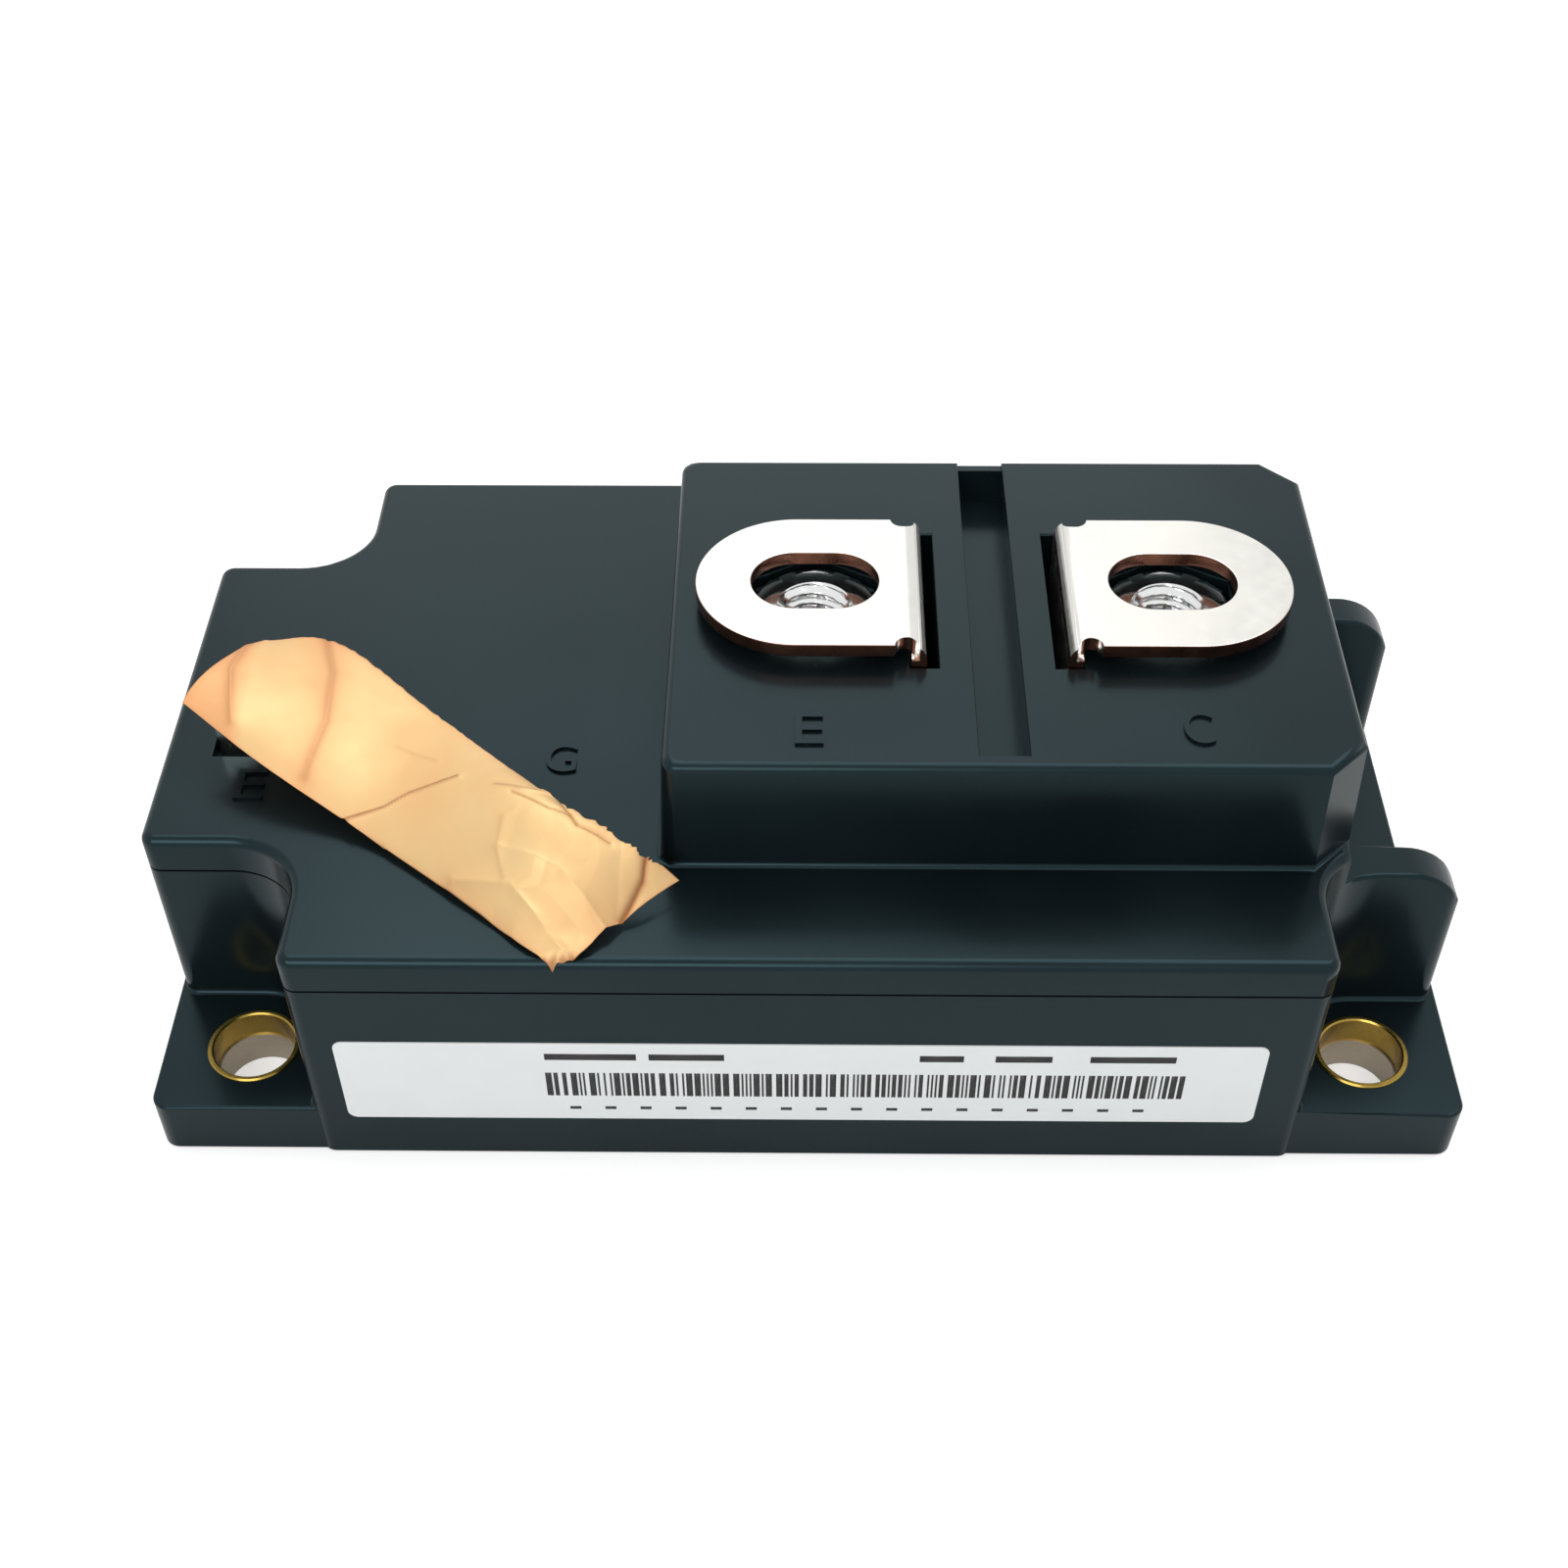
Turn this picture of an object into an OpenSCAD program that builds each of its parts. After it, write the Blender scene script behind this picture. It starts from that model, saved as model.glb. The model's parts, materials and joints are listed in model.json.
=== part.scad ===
// Single IGBT power module, 108 x 62 mm footprint, 36 mm high.
// Origin: middle of the footprint, on the heatsink face of the base plate.
// +X runs from the control tabs to the collector, +Y to the rear, +Z up.

/* [Footprint] */
// Length over the mounting ears
module_l = 108; // [104:0.5:116]
// Width over the two long faces of the body
module_w = 62; // [58:0.5:70]
// Distance of the mounting screws from the ears' ends
screw_in_x = 7.5; // [7:0.5:9]
// Distance of the mounting screws from the long faces of the body
screw_in_y = 7; // [6.5:0.5:9]
// Radius of the screw holes in the base plate
hole_r = 3.25; // [2.75:0.05:3.3]
// Height of the top of the ears
ear_top = 5.4; // [4.6:0.1:7]
// How far the ears stand back from the long faces of the body
ear_back = 0.3; // [0.1:0.1:0.8]
// Corner radius of the ears
ear_r = 1.5; // [0.5:0.1:3]

/* [Base plate] */
// Thickness of the base plate
plate_t = 3; // [2:0.1:4]
// Width of the plastic rim round the base plate
rim_t = 1.3; // [0.8:0.1:1.8]
// Gap between the base plate and the rim
plate_gap = 0.1; // [0.05:0.05:0.3]
// How far the base plate stands below the rim
plate_proud = 0.2; // [0.1:0.05:0.4]

/* [Mounting bushes] */
// Outer radius of a bush
bush_r = 3.9; // [3.7:0.05:4.4]
// Wall of a bush
bush_wall = 0.5; // [0.3:0.05:0.6]
// How far a bush stands above its ear
bush_proud = 0.2; // [0.05:0.05:0.5]

/* [Housing] */
// Height of the joint between case and lid
seam_z = 20.4; // [18:0.1:22]
// Height of the deck, the lid's main top surface
deck_z = 23.7; // [23.2:0.1:25]
// Clear radius round each mounting screw, which shapes the corner notches
notch_r = 6; // [5:0.1:6.5]
// How far the left end wall and the fins stand back from the ears' ends
end_back = 0.4; // [0.2:0.1:1]
// Distance of the right end wall from the middle
right_end = 43.2; // [42.5:0.1:44.5]
// Wall of the case
wall = 2; // [1.5:0.1:2.4]
// Radius of the upright outer corners
corner_r = 1.2; // [0.6:0.1:1.8]
// Depth and height of the shadow line at the seam
seam_line = 0.2; // [0.1:0.05:0.3]

/* [End fins] */
// Thickness of each fin at the right end
fin_t = 3.5; // [3.1:0.1:5]
// Radius of the fins' outer top corner
fin_top_r = 5; // [3:0.1:7]
// Radius of the fins' upright outer edges
fin_edge_r = 1.4; // [0.8:0.1:1.5]

/* [Terminal block] */
// Left face of the block at its foot
block_left = -11.6; // [-14:0.1:-11]
// Half width of the block at its foot
block_half_w = 20.45; // [19.8:0.05:21]
// Height of the block's top
block_top = 33.8; // [32.8:0.1:35]
// How much each face of the block leans in towards its top
block_draft = 0.4; // [0.1:0.05:0.6]
// Size of the 45 degree chamfers on the two right corners
block_chamfer = 3.3; // [2:0.1:4]
// Radius of the two left corners
block_corner_r = 1.2; // [0.8:0.1:2]
// Radius round the edge of the block's top
block_edge_r = 0.7; // [0.3:0.1:1]
// Wall of the cored block and thickness of its top
block_wall = 2; // [1.4:0.1:2.2]
// Width of the groove between the main terminals
groove_w = 3.9; // [3:0.1:5]
// Depth of the groove
groove_depth = 3.8; // [2.5:0.1:4.5]
// Wall left at the front end of the groove
groove_front = 1.5; // [1:0.1:3]
// Wall left at the rear end of the groove
groove_rear = 0.8; // [0.7:0.1:3]
// Depth of the notch in the groove's rear wall
groove_notch = 0.6; // [0.3:0.1:1.5]

/* [Lid] */
// Thickness of the deck
deck_t = 2.2; // [1.8:0.1:2.6]
// Depth of the lip that drops into the case
lip_depth = 1.5; // [1:0.1:3]
// Thickness of the lip
lip_t = 1.2; // [0.8:0.1:1.6]
// Gap between lip and case
lip_gap = 0.1; // [0.05:0.05:0.2]

/* [Main terminals] */
// Middle of the terminal pair along the length
pair_x = 15; // [14:0.1:16]
// Spacing of the two terminal screws
screw_pitch = 29; // [27.5:0.1:29]
// Thickness of the terminal sheet
sheet_t = 1.2; // [1:0.05:1.5]
// Width of a terminal tab
tab_w = 16.5; // [15.6:0.1:17]
// Distance from the screw to the round end of the tab
tab_reach = 9.7; // [8.8:0.1:10]
// Distance from the screw to the outer face of the leg
leg_reach = 8.9; // [8.5:0.1:9.2]
// Inner radius of the bend
bend_r = 0.4; // [0.3:0.1:1]
// Gap between the tab and the block's top
tab_lift = 1; // [0.5:0.1:1.5]
// Length of the oblong screw hole
slot_l = 10.4; // [7.4:0.1:11]
// Width of the oblong screw hole
slot_w = 7.2; // [6.4:0.1:7.4]
// Radius of the relief cuts beside the bend
relief_r = 1; // [0.6:0.1:1.4]
// Width of the leg inside the housing
leg_w = 12; // [8:0.1:12.4]
// Length of the soldered foot
foot_l = 5; // [3.5:0.1:6]
// Gap on the inner side of the leg in its slot
leg_gap_in = 0.1; // [0.05:0.05:0.3]
// Gap on the outer side of the leg in its slot
leg_gap_out = 1; // [0.3:0.1:1.2]
// Gap at the front end of the leg's slot
leg_gap_front = 0.1; // [0.05:0.05:0.4]
// Gap at the rear end of the leg's slot
leg_gap_rear = 0.95; // [0.2:0.05:1.2]

/* [Terminal nuts] */
// Width across flats
nut_af = 10; // [9.5:0.1:10.2]
// Height of a nut
nut_h = 5; // [4:0.1:5.4]
// How far a nut's round face lies inside its flats
nut_face_in = 0.2; // [0.1:0.05:0.4]
// Radius of the tapped hole
tap_r = 2.5; // [2.4:0.05:2.6]
// Depth of the lead-in at each end of the hole
lead_in = 0.6; // [0.3:0.1:0.8]
// How far a nut lies below the block's top
nut_sink = 0.4; // [0.2:0.1:1]
// Gap on each flat between nut and pocket
nut_gap = 0.15; // [0.05:0.05:0.3]
// Depth of the well under the nut for the screw's tip
well_depth = 3; // [1.5:0.1:3.4]
// Radius of the well
well_r = 3.4; // [3.1:0.1:4]
// Floor under the well and wall round the nut pocket
nut_wall = 1.5; // [1:0.1:2]

/* [Control tabs] */
// Width of a control tab
blade_w = 2.8; // [2.4:0.1:3]
// Thickness of a control tab
blade_t = 0.5; // [0.4:0.05:0.8]
// Height of a control tab above the deck
blade_h = 5.6; // [4:0.1:6]
// Distance of the auxiliary emitter tab from the left end wall
aux_in = 5.9; // [5:0.1:7]
// Place of the auxiliary emitter tab across the width
aux_y = -6.5; // [-8:0.1:-5]
// Place of the gate tab along the length
gate_x = -21.5; // [-23:0.1:-20]
// Place of the gate tab across the width
gate_y = -20.5; // [-21:0.1:-18]
// Length of the recess round a tab
recess_l = 3.6; // [3.5:0.1:4.4]
// Width of the recess round a tab
recess_w = 2.9; // [1.5:0.1:3.2]
// Depth of the recess round a tab
recess_depth = 1.2; // [0.5:0.1:1.6]
// Gap between a tab and its slot through the deck
blade_gap = 0.1; // [0.05:0.05:0.2]

/* [Power circuit] */
// Gap between the two substrates
ceramic_gap = 4; // [2:0.5:5]
// Thickness of the ceramic
ceramic_t = 0.6; // [0.4:0.05:1]
// Thickness of the copper on each side of the ceramic
copper_t = 0.3; // [0.2:0.05:0.4]
// Bare ceramic round the copper
copper_margin = 0.8; // [0.5:0.1:1]
// Gap between two copper areas
copper_space = 0.8; // [0.5:0.1:1]
// Width of the emitter copper, next to the gap between the substrates
emitter_pad_w = 8; // [7.5:0.1:8.5]
// Width of the sense copper, at the substrate's outer edge
sense_pad_w = 2.2; // [2:0.1:2.5]
// Width of the gate copper along the front and rear edges
gate_pad_w = 2.6; // [2.2:0.1:3]
// Thickness of the chips
chip_t = 0.3; // [0.2:0.05:0.5]
// Side of a transistor chip
igbt_side = 10.5; // [8:0.1:10.6]
// Side of a diode chip
diode_side = 7.6; // [6:0.1:7.8]
// Gap between a transistor chip and a diode chip
chip_space = 1.4; // [1:0.1:2]
// Bare collector copper outside the chips
chip_edge = 0.55; // [0.3:0.05:1]
// Radius of a bond wire
wire_r = 0.2; // [0.1:0.05:0.25]
// Height of a bond wire's loop
wire_loop = 2.6; // [1.5:0.1:3]
// Spacing of the bond wires on a chip
wire_pitch = 2.2; // [1:0.1:2.4]
// Distance between two wires' feet on a diode chip
wire_step = 2; // [1:0.1:3]
// Distance of a gate wire's foot from the chip's edge
gate_bond_in = 0.8; // [0.5:0.1:1.5]
// Width of the straps that link the two substrates
strap_w = 2; // [1.5:0.1:2.2]
// Thickness of the straps
strap_t = 0.8; // [0.5:0.1:1]
// Height of the straps' bridge above the copper
strap_rise = 2.2; // [1.2:0.1:2.8]
// Distance of the straps from the main terminals' legs, and of the chips from the straps
strap_gap = 0.3; // [0.2:0.05:0.6]
// Length of a strap's soldered foot
strap_foot = 2; // [1.5:0.1:3]
// Distance of a strap's foot from the edge of its copper
strap_in = 2.6; // [1:0.1:3]
// Distance of the bond wires' feet from the edge of the emitter copper
bond_in = 1.5; // [1:0.1:2]
// Length of a gate resistor
resistor_l = 2; // [1.2:0.1:3]
// Width of a gate resistor
resistor_w = 1.2; // [0.6:0.1:1.6]
// Height of a gate resistor
resistor_h = 0.5; // [0.3:0.05:0.8]
// Underside of the silicone gel above the base plate's top
gel_bottom = 5.2; // [5:0.1:5.6]
// Thickness of the silicone gel
gel_t = 6; // [5:0.1:7]

/* [Label and foil] */
// Length of the label
label_l = 74; // [60:0.5:76]
// Height of the label
label_h = 9.5; // [7:0.1:11]
// Height of the label's lower edge
label_z = 4.9; // [3:0.1:6]
// Thickness of the label
label_t = 0.1; // [0.05:0.05:0.2]
// Corner radius of the label
label_r = 0.8; // [0.3:0.1:1.5]
// Place of the label's middle along the length
label_x = -0.5; // [-2:0.1:2]
// Thickness of the shorting foil with its creases
foil_t = 0.3; // [0.2:0.05:0.5]

/* [Hidden] */

$fn = 48;
eps = 0.01;

// Segments of a quarter circle in the moulded outlines
corner_steps = 3;
edge_steps = 4;

hole_x = module_l / 2 - screw_in_x;
hole_y = module_w / 2 - screw_in_y;
ear_l = module_l;
ear_w = module_w - 2 * ear_back;
notch_x = hole_x - notch_r;
notch_y = hole_y - notch_r;
case_bottom = plate_proud;
end_x = module_l / 2 - end_back;

// Heights inside the terminal block
block_mid_z = block_top - groove_depth;
nut_top = block_top - nut_sink;
nut_bottom = nut_top - nut_h;
well_bottom = nut_bottom - well_depth;
housing_bottom = well_bottom - nut_wall;
emitter_x = pair_x - screw_pitch / 2;
collector_x = pair_x + screw_pitch / 2;
tab_top = block_top + tab_lift + sheet_t;
nut_corner_r = nut_af / 2 / cos(30);
pocket_corner_r = (nut_af / 2 + nut_gap) / cos(30);
housing_r = pocket_corner_r + nut_wall;

// Stack of the power circuit
copper_z = plate_t;
ceramic_z = copper_z + copper_t;
pad_z = ceramic_z + ceramic_t;
chip_z = pad_z + copper_t;
wire_z = chip_z + chip_t;
gel_z = plate_t + gel_bottom;

// The straps run beside the legs of the main terminals, and the chips stand outside them
strap_y = leg_w / 2 + strap_gap + strap_w / 2;
chip_y = strap_y + strap_w / 2 + strap_gap + igbt_side / 2;

// Copper areas of the right-hand substrate, as distances from the middle of the module
emitter_pad_x0 = ceramic_gap / 2 + copper_margin;
emitter_pad_x1 = emitter_pad_x0 + emitter_pad_w;
collector_pad_x0 = emitter_pad_x1 + copper_space;
diode_x = collector_pad_x0 + chip_edge + diode_side / 2;
igbt_x = diode_x + diode_side / 2 + chip_space + igbt_side / 2;
collector_pad_x1 = igbt_x + igbt_side / 2 + chip_edge;
sense_pad_x0 = collector_pad_x1 + copper_space;
sense_pad_x1 = sense_pad_x0 + sense_pad_w;
collector_pad_y = chip_y + igbt_side / 2 + chip_edge;
gate_pad_y0 = collector_pad_y + copper_space;
pad_y = gate_pad_y0 + gate_pad_w;
emitter_bond_x = emitter_pad_x1 - bond_in;

// Ceramic substrates
ceramic_l = sense_pad_x1 + copper_margin - ceramic_gap / 2;
ceramic_w = 2 * (pad_y + copper_margin);
ceramic_x = (ceramic_gap + ceramic_l) / 2;

// Control tabs
blade_top = deck_z + blade_h;
aux_x = aux_in - end_x;
blade_arm_z = gel_z + 2;
blade_arm_h = 2;
blade_leg_w = 1.8;
gate_foot_y = gate_pad_y0 + gate_pad_w / 2;

// Front edge, ridge and rear edge of the foil, as places along and across from the nearer
// control tab and a share of the tabs' height; the foil rests on both tabs and on the deck
foil_rows = [
    [[-3.76, -0.64, 1.001], [3.07, -6.74, 0.84], [12.13, -12.1, 0.304], [-4.84, -4.95, 0.089], [-0.86, -8.37, 0], [2.27, -11.25, 0]],
    [[-1.19, 3.2, 1.055], [5.32, 0.2, 1.001], [14.78, -6.96, 0.697], [0, 0, 1.095], [3.33, -5.12, 0.822], [6.87, -7.3, 0.232]],
    [[1.37, 7.04, 1.037], [7.57, 7.15, 0.965], [17.44, -1.81, 0.894], [1.13, 2.55, 1.18], [7.51, -1.87, 0.965], [11.46, -3.35, 0.304]]
];
foil_at_aux = 3;

// ---------- Outlines and general shapes ----------

// Point on the underside of the foil at station k
function foil_point(k, p) =
    let (tab = k < foil_at_aux ? [aux_x, aux_y] : [gate_x, gate_y])
    [tab[0] + p[0], tab[1] + p[1], deck_z + p[2] * blade_h];

// Points along an arc from angle a0 to a1
function arc(cx, cy, r, a0, a1, n) =
    [for (k = [0:n]) let (a = a0 + (a1 - a0) * k / n) [cx + r * cos(a), cy + r * sin(a)]];

// Terminal block outline, drawn in by i all round
function block_outline(i) =
    let (
        left = block_left + i,
        right = right_end - i,
        y = block_half_w - i,
        rc = block_corner_r,
        c = block_chamfer - i * (2 - sqrt(2))
    )
    concat(
        arc(left + rc, rc - y, rc, 180, 270, corner_steps),
        [[right - c, -y], [right, c - y], [right, y - c], [right - c, y]],
        arc(left + rc, y - rc, rc, 90, 180, corner_steps)
    );

// Solid skin through a stack of outlines; each ring is [points, height]
module loft(rings) {
    n = len(rings[0][0]);
    m = len(rings);
    points = [for (ring = rings) for (p = ring[0]) [p[0], p[1], ring[1]]];
    sides = [
        for (j = [0:m - 2], k = [0:n - 1])
            let (q = (k + 1) % n, a = j * n + k, b = j * n + q)
            each [[a, a + n, b + n], [a, b + n, b]]
    ];
    caps = [[for (k = [0:n - 1]) k], [for (k = [n - 1:-1:0]) (m - 1) * n + k]];
    polyhedron(points = points, faces = concat(caps, sides));
}

// Insets and heights of an edge rounded by r that ends at height top
function round_over(inset, r, top) =
    [for (k = [0:edge_steps]) let (a = 90 * k / edge_steps) [inset + r * (1 - cos(a)), top - r * (1 - sin(a))]];

module rounded_rect(l, w, r) {
    square([l, w - 2 * r], center = true);
    square([l - 2 * r, w], center = true);
    for (x = [-1, 1], y = [-1, 1])
        translate([x * (l / 2 - r), y * (w / 2 - r)]) circle(r);
}

// Puts children, drawn for the rear right corner, at all four corners
module at_corners() {
    for (a = [0, 1], b = [0, 1])
        mirror([a, 0, 0]) mirror([0, b, 0]) children();
}

// Plan of the body with its four corner notches, drawn in by i all round
module body_plan(i) {
    band = 2 * (notch_y - i);
    rounded_rect(2 * (notch_x - i), module_w - 2 * i, corner_r);
    translate([(i - end_x) / 2, 0]) rounded_rect(end_x - i, band, corner_r);
    translate([0, -band / 2]) square([right_end - i, band]);
    intersection() {
        at_corners()
            difference() {
                translate([notch_x - i - wall, notch_y - i - wall]) square([notch_r + i + wall, notch_r + i + wall]);
                translate([hole_x, hole_y]) circle(notch_r + i);
            }
        translate([i - end_x, -module_w]) square([end_x + right_end - 2 * i, 2 * module_w]);
    }
}

module at_screws() {
    for (x = [-1, 1], y = [-1, 1])
        translate([x * hole_x, y * hole_y, 0]) children();
}

// Upright box given by its two corners
module box(low, high) {
    translate(low) cube(high - low);
}

// ---------- Base plate and case ----------

module base_plate() {
    inset = rim_t + plate_gap;
    color("#b9b6ad")
    difference() {
        linear_extrude(plate_t)
            rounded_rect(ear_l - 2 * inset, ear_w - 2 * inset, ear_r);
        at_screws()
            translate([0, 0, -eps]) cylinder(h = plate_t + 2 * eps, r = hole_r);
    }
}

// Upright outline of a fin, seen from the front
module fin_side() {
    translate([right_end - wall, 0]) square([end_x - right_end + wall - fin_top_r, seam_z]);
    translate([right_end - wall, 0]) square([end_x - right_end + wall, seam_z - fin_top_r]);
    translate([end_x - fin_top_r, seam_z - fin_top_r]) circle(fin_top_r);
}

// Plan of the front fin, whose root sweeps round the screw's clear radius
module fin_plan() {
    root = right_end - wall;
    difference() {
        union() {
            translate([root, -hole_y]) square([hole_x - root, hole_y - notch_y + fin_t]);
            translate([root, -notch_y]) square([end_x - fin_edge_r - root, fin_t]);
            translate([root, fin_edge_r - notch_y]) square([end_x - root, fin_t - 2 * fin_edge_r]);
            for (y = [fin_edge_r, fin_t - fin_edge_r])
                translate([end_x - fin_edge_r, y - notch_y]) circle(fin_edge_r);
        }
        translate([hole_x, -hole_y]) circle(notch_r);
    }
}

module end_fin() {
    intersection() {
        translate([0, 0, case_bottom]) linear_extrude(seam_z - case_bottom) fin_plan();
        rotate([90, 0, 0]) translate([0, 0, notch_y - fin_t]) linear_extrude(hole_y) fin_side();
    }
}

module case() {
    color("#20262b")
    difference() {
        union() {
            translate([0, 0, case_bottom])
                linear_extrude(ear_top - case_bottom) rounded_rect(ear_l, ear_w, ear_r);
            translate([0, 0, case_bottom]) linear_extrude(seam_z - seam_line - case_bottom) body_plan(0);
            translate([0, 0, ear_top]) linear_extrude(seam_z - ear_top) body_plan(seam_line);
            end_fin();
            mirror([0, 1, 0]) end_fin();
        }
        // Room for the base plate, and the hollow above it
        translate([0, 0, -eps]) linear_extrude(plate_t + eps)
            rounded_rect(ear_l - 2 * rim_t, ear_w - 2 * rim_t, ear_r);
        translate([0, 0, plate_t - eps]) linear_extrude(seam_z - plate_t + 2 * eps)
            body_plan(wall);
        at_screws()
            translate([0, 0, plate_t - eps]) cylinder(h = ear_top, r = bush_r);
    }
}

module mounting_bush(x, y) {
    chamfer = bush_wall / 4;
    inner = bush_r - bush_wall;
    top = ear_top + bush_proud;
    color("#c9a04a")
    translate([x * hole_x, y * hole_y, 0])
        rotate_extrude()
            polygon([
                [inner, plate_t], [bush_r, plate_t], [bush_r, top - chamfer],
                [bush_r - chamfer, top], [inner + chamfer, top], [inner, top - chamfer]
            ]);
}

module bush_front_left() { mounting_bush(-1, -1); }
module bush_front_right() { mounting_bush(1, -1); }
module bush_rear_left() { mounting_bush(-1, 1); }
module bush_rear_right() { mounting_bush(1, 1); }

// ---------- Lid ----------

// Block with drafted faces and a rounded top edge
module block_skin() {
    loft(concat(
        [[block_outline(0), deck_z]],
        [for (e = round_over(block_draft, block_edge_r, block_top)) [block_outline(e[0]), e[1]]]
    ));
}

module lid_lip() {
    lip_outer = wall + lip_gap;
    translate([0, 0, seam_z - lip_depth]) linear_extrude(lip_depth + eps)
        difference() {
            body_plan(lip_outer);
            body_plan(lip_outer + lip_t);
        }
}

// Slot for a main terminal's leg, for a leg whose outer face is at x = 0 and faces +X
module leg_slot(grow, z0, z1) {
    box([-sheet_t - leg_gap_in - grow, -tab_w / 2 - leg_gap_front - grow, z0],
        [leg_gap_out + grow, tab_w / 2 + leg_gap_rear + grow, z1]);
}

// Puts children, drawn for the emitter side, at both main terminals
module both_sides() {
    children();
    translate([2 * pair_x, 0, 0]) mirror([1, 0, 0]) children();
}

// Hollow under the block, round the nut housings, the leg slots and the groove
module block_core() {
    inset = block_draft + block_wall;
    difference() {
        translate([0, 0, deck_z - deck_t - eps])
            linear_extrude(block_top - block_wall - deck_z + deck_t + eps) polygon(block_outline(inset));
        both_sides() {
            translate([emitter_x, 0, housing_bottom]) cylinder(h = block_top, r = housing_r);
            translate([emitter_x + leg_reach, 0, 0]) leg_slot(nut_wall, housing_bottom, block_top);
        }
        box([pair_x - groove_w / 2 - nut_wall, -module_w, block_mid_z - block_wall],
            [pair_x + groove_w / 2 + nut_wall, module_w, block_top]);
    }
}

module blade_slot(x, y) {
    translate([x, y, 0]) {
        box([-recess_l / 2, -recess_w / 2, deck_z - recess_depth], [recess_l / 2, recess_w / 2, deck_z + eps]);
        box([-blade_w / 2 - blade_gap, -blade_t / 2 - blade_gap, seam_z],
            [blade_w / 2 + blade_gap, blade_t / 2 + blade_gap, deck_z]);
    }
}

module lid() {
    groove_y0 = groove_front + block_draft - block_half_w;
    groove_y1 = block_half_w - block_draft - groove_rear;
    color("#20262b")
    difference() {
        union() {
            translate([0, 0, seam_z]) linear_extrude(deck_z - seam_z) body_plan(0);
            block_skin();
            lid_lip();
        }
        // Hollow under the deck
        translate([0, 0, seam_z - eps]) linear_extrude(deck_z - deck_t - seam_z + eps)
            body_plan(wall + lip_gap + lip_t);
        block_core();
        both_sides() {
            translate([emitter_x, 0, nut_bottom]) rotate(30)
                cylinder(h = block_top, r = pocket_corner_r, $fn = 6);
            translate([emitter_x, 0, well_bottom]) cylinder(h = block_top, r = well_r);
            translate([emitter_x + leg_reach, 0, 0]) leg_slot(0, seam_z, block_top + eps);
        }
        box([pair_x - groove_w / 2, groove_y0, block_mid_z],
            [pair_x + groove_w / 2, groove_y1, block_top + eps]);
        box([pair_x - groove_w / 2, groove_y1 - eps, block_top - groove_notch],
            [pair_x + groove_w / 2, block_half_w, block_top + eps]);
        blade_slot(aux_x, aux_y);
        blade_slot(gate_x, gate_y);
    }
}

// ---------- Main terminals and nuts ----------

// Side view of the emitter terminal from the screw's axis: tab, bend, leg and foot
module terminal_side() {
    bend_out = bend_r + sheet_t;
    bend_x = leg_reach - bend_out;
    translate([-tab_reach, tab_top - sheet_t]) square([tab_reach + bend_x, sheet_t]);
    translate([bend_x, tab_top - bend_out])
        intersection() {
            difference() {
                circle(bend_out);
                circle(bend_r);
            }
            square(bend_out);
        }
    translate([leg_reach - sheet_t, chip_z]) square([sheet_t, tab_top - bend_out - chip_z]);
    translate([leg_reach - foot_l, chip_z]) square([foot_l, sheet_t]);
}

// Plan of the tab: round outer end, oblong hole and relief cuts at the bend
module terminal_plan() {
    end_r = tab_w / 2;
    difference() {
        union() {
            translate([end_r - tab_reach, 0]) circle(end_r);
            translate([end_r - tab_reach, -end_r]) square([tab_reach + leg_reach - end_r, tab_w]);
        }
        for (x = [-1, 1])
            translate([x * (slot_l - slot_w) / 2, 0]) circle(slot_w / 2);
        square([slot_l - slot_w, slot_w], center = true);
        for (y = [-1, 1])
            translate([leg_reach - sheet_t - bend_r, y * end_r]) circle(relief_r);
    }
}

module main_terminal() {
    shoulder_z = deck_z + deck_t;
    color("#e8e4d8")
    intersection() {
        rotate([90, 0, 0]) translate([0, 0, -tab_w / 2]) linear_extrude(tab_w) terminal_side();
        union() {
            translate([0, 0, tab_top - sheet_t - bend_r])
                linear_extrude(sheet_t + bend_r + eps) terminal_plan();
            box([leg_reach - sheet_t - eps, -tab_w / 2, shoulder_z],
                [leg_reach + eps, tab_w / 2, tab_top - sheet_t - bend_r]);
            box([-tab_reach, -leg_w / 2, chip_z], [leg_reach + eps, leg_w / 2, shoulder_z]);
        }
    }
}

module emitter_terminal() { translate([emitter_x, 0, 0]) main_terminal(); }
module collector_terminal() { translate([collector_x, 0, 0]) mirror([1, 0, 0]) main_terminal(); }

module hex_nut() {
    face_r = nut_af / 2 - nut_face_in;
    edge_h = (nut_corner_r - face_r) * tan(30);
    color("#d7dade")
    difference() {
        intersection() {
            rotate(30) cylinder(h = nut_h, r = nut_corner_r, $fn = 6);
            rotate_extrude()
                polygon([
                    [0, 0], [face_r, 0], [nut_corner_r + eps, edge_h],
                    [nut_corner_r + eps, nut_h - edge_h], [face_r, nut_h], [0, nut_h]
                ]);
        }
        rotate_extrude()
            polygon([
                [0, -eps], [tap_r + lead_in, -eps], [tap_r + lead_in, 0], [tap_r, lead_in],
                [tap_r, nut_h - lead_in], [tap_r + lead_in, nut_h], [tap_r + lead_in, nut_h + eps], [0, nut_h + eps]
            ]);
    }
}

module emitter_nut() { translate([emitter_x, 0, nut_bottom]) hex_nut(); }
module collector_nut() { translate([collector_x, 0, nut_bottom]) hex_nut(); }

// ---------- Control terminals ----------

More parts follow.
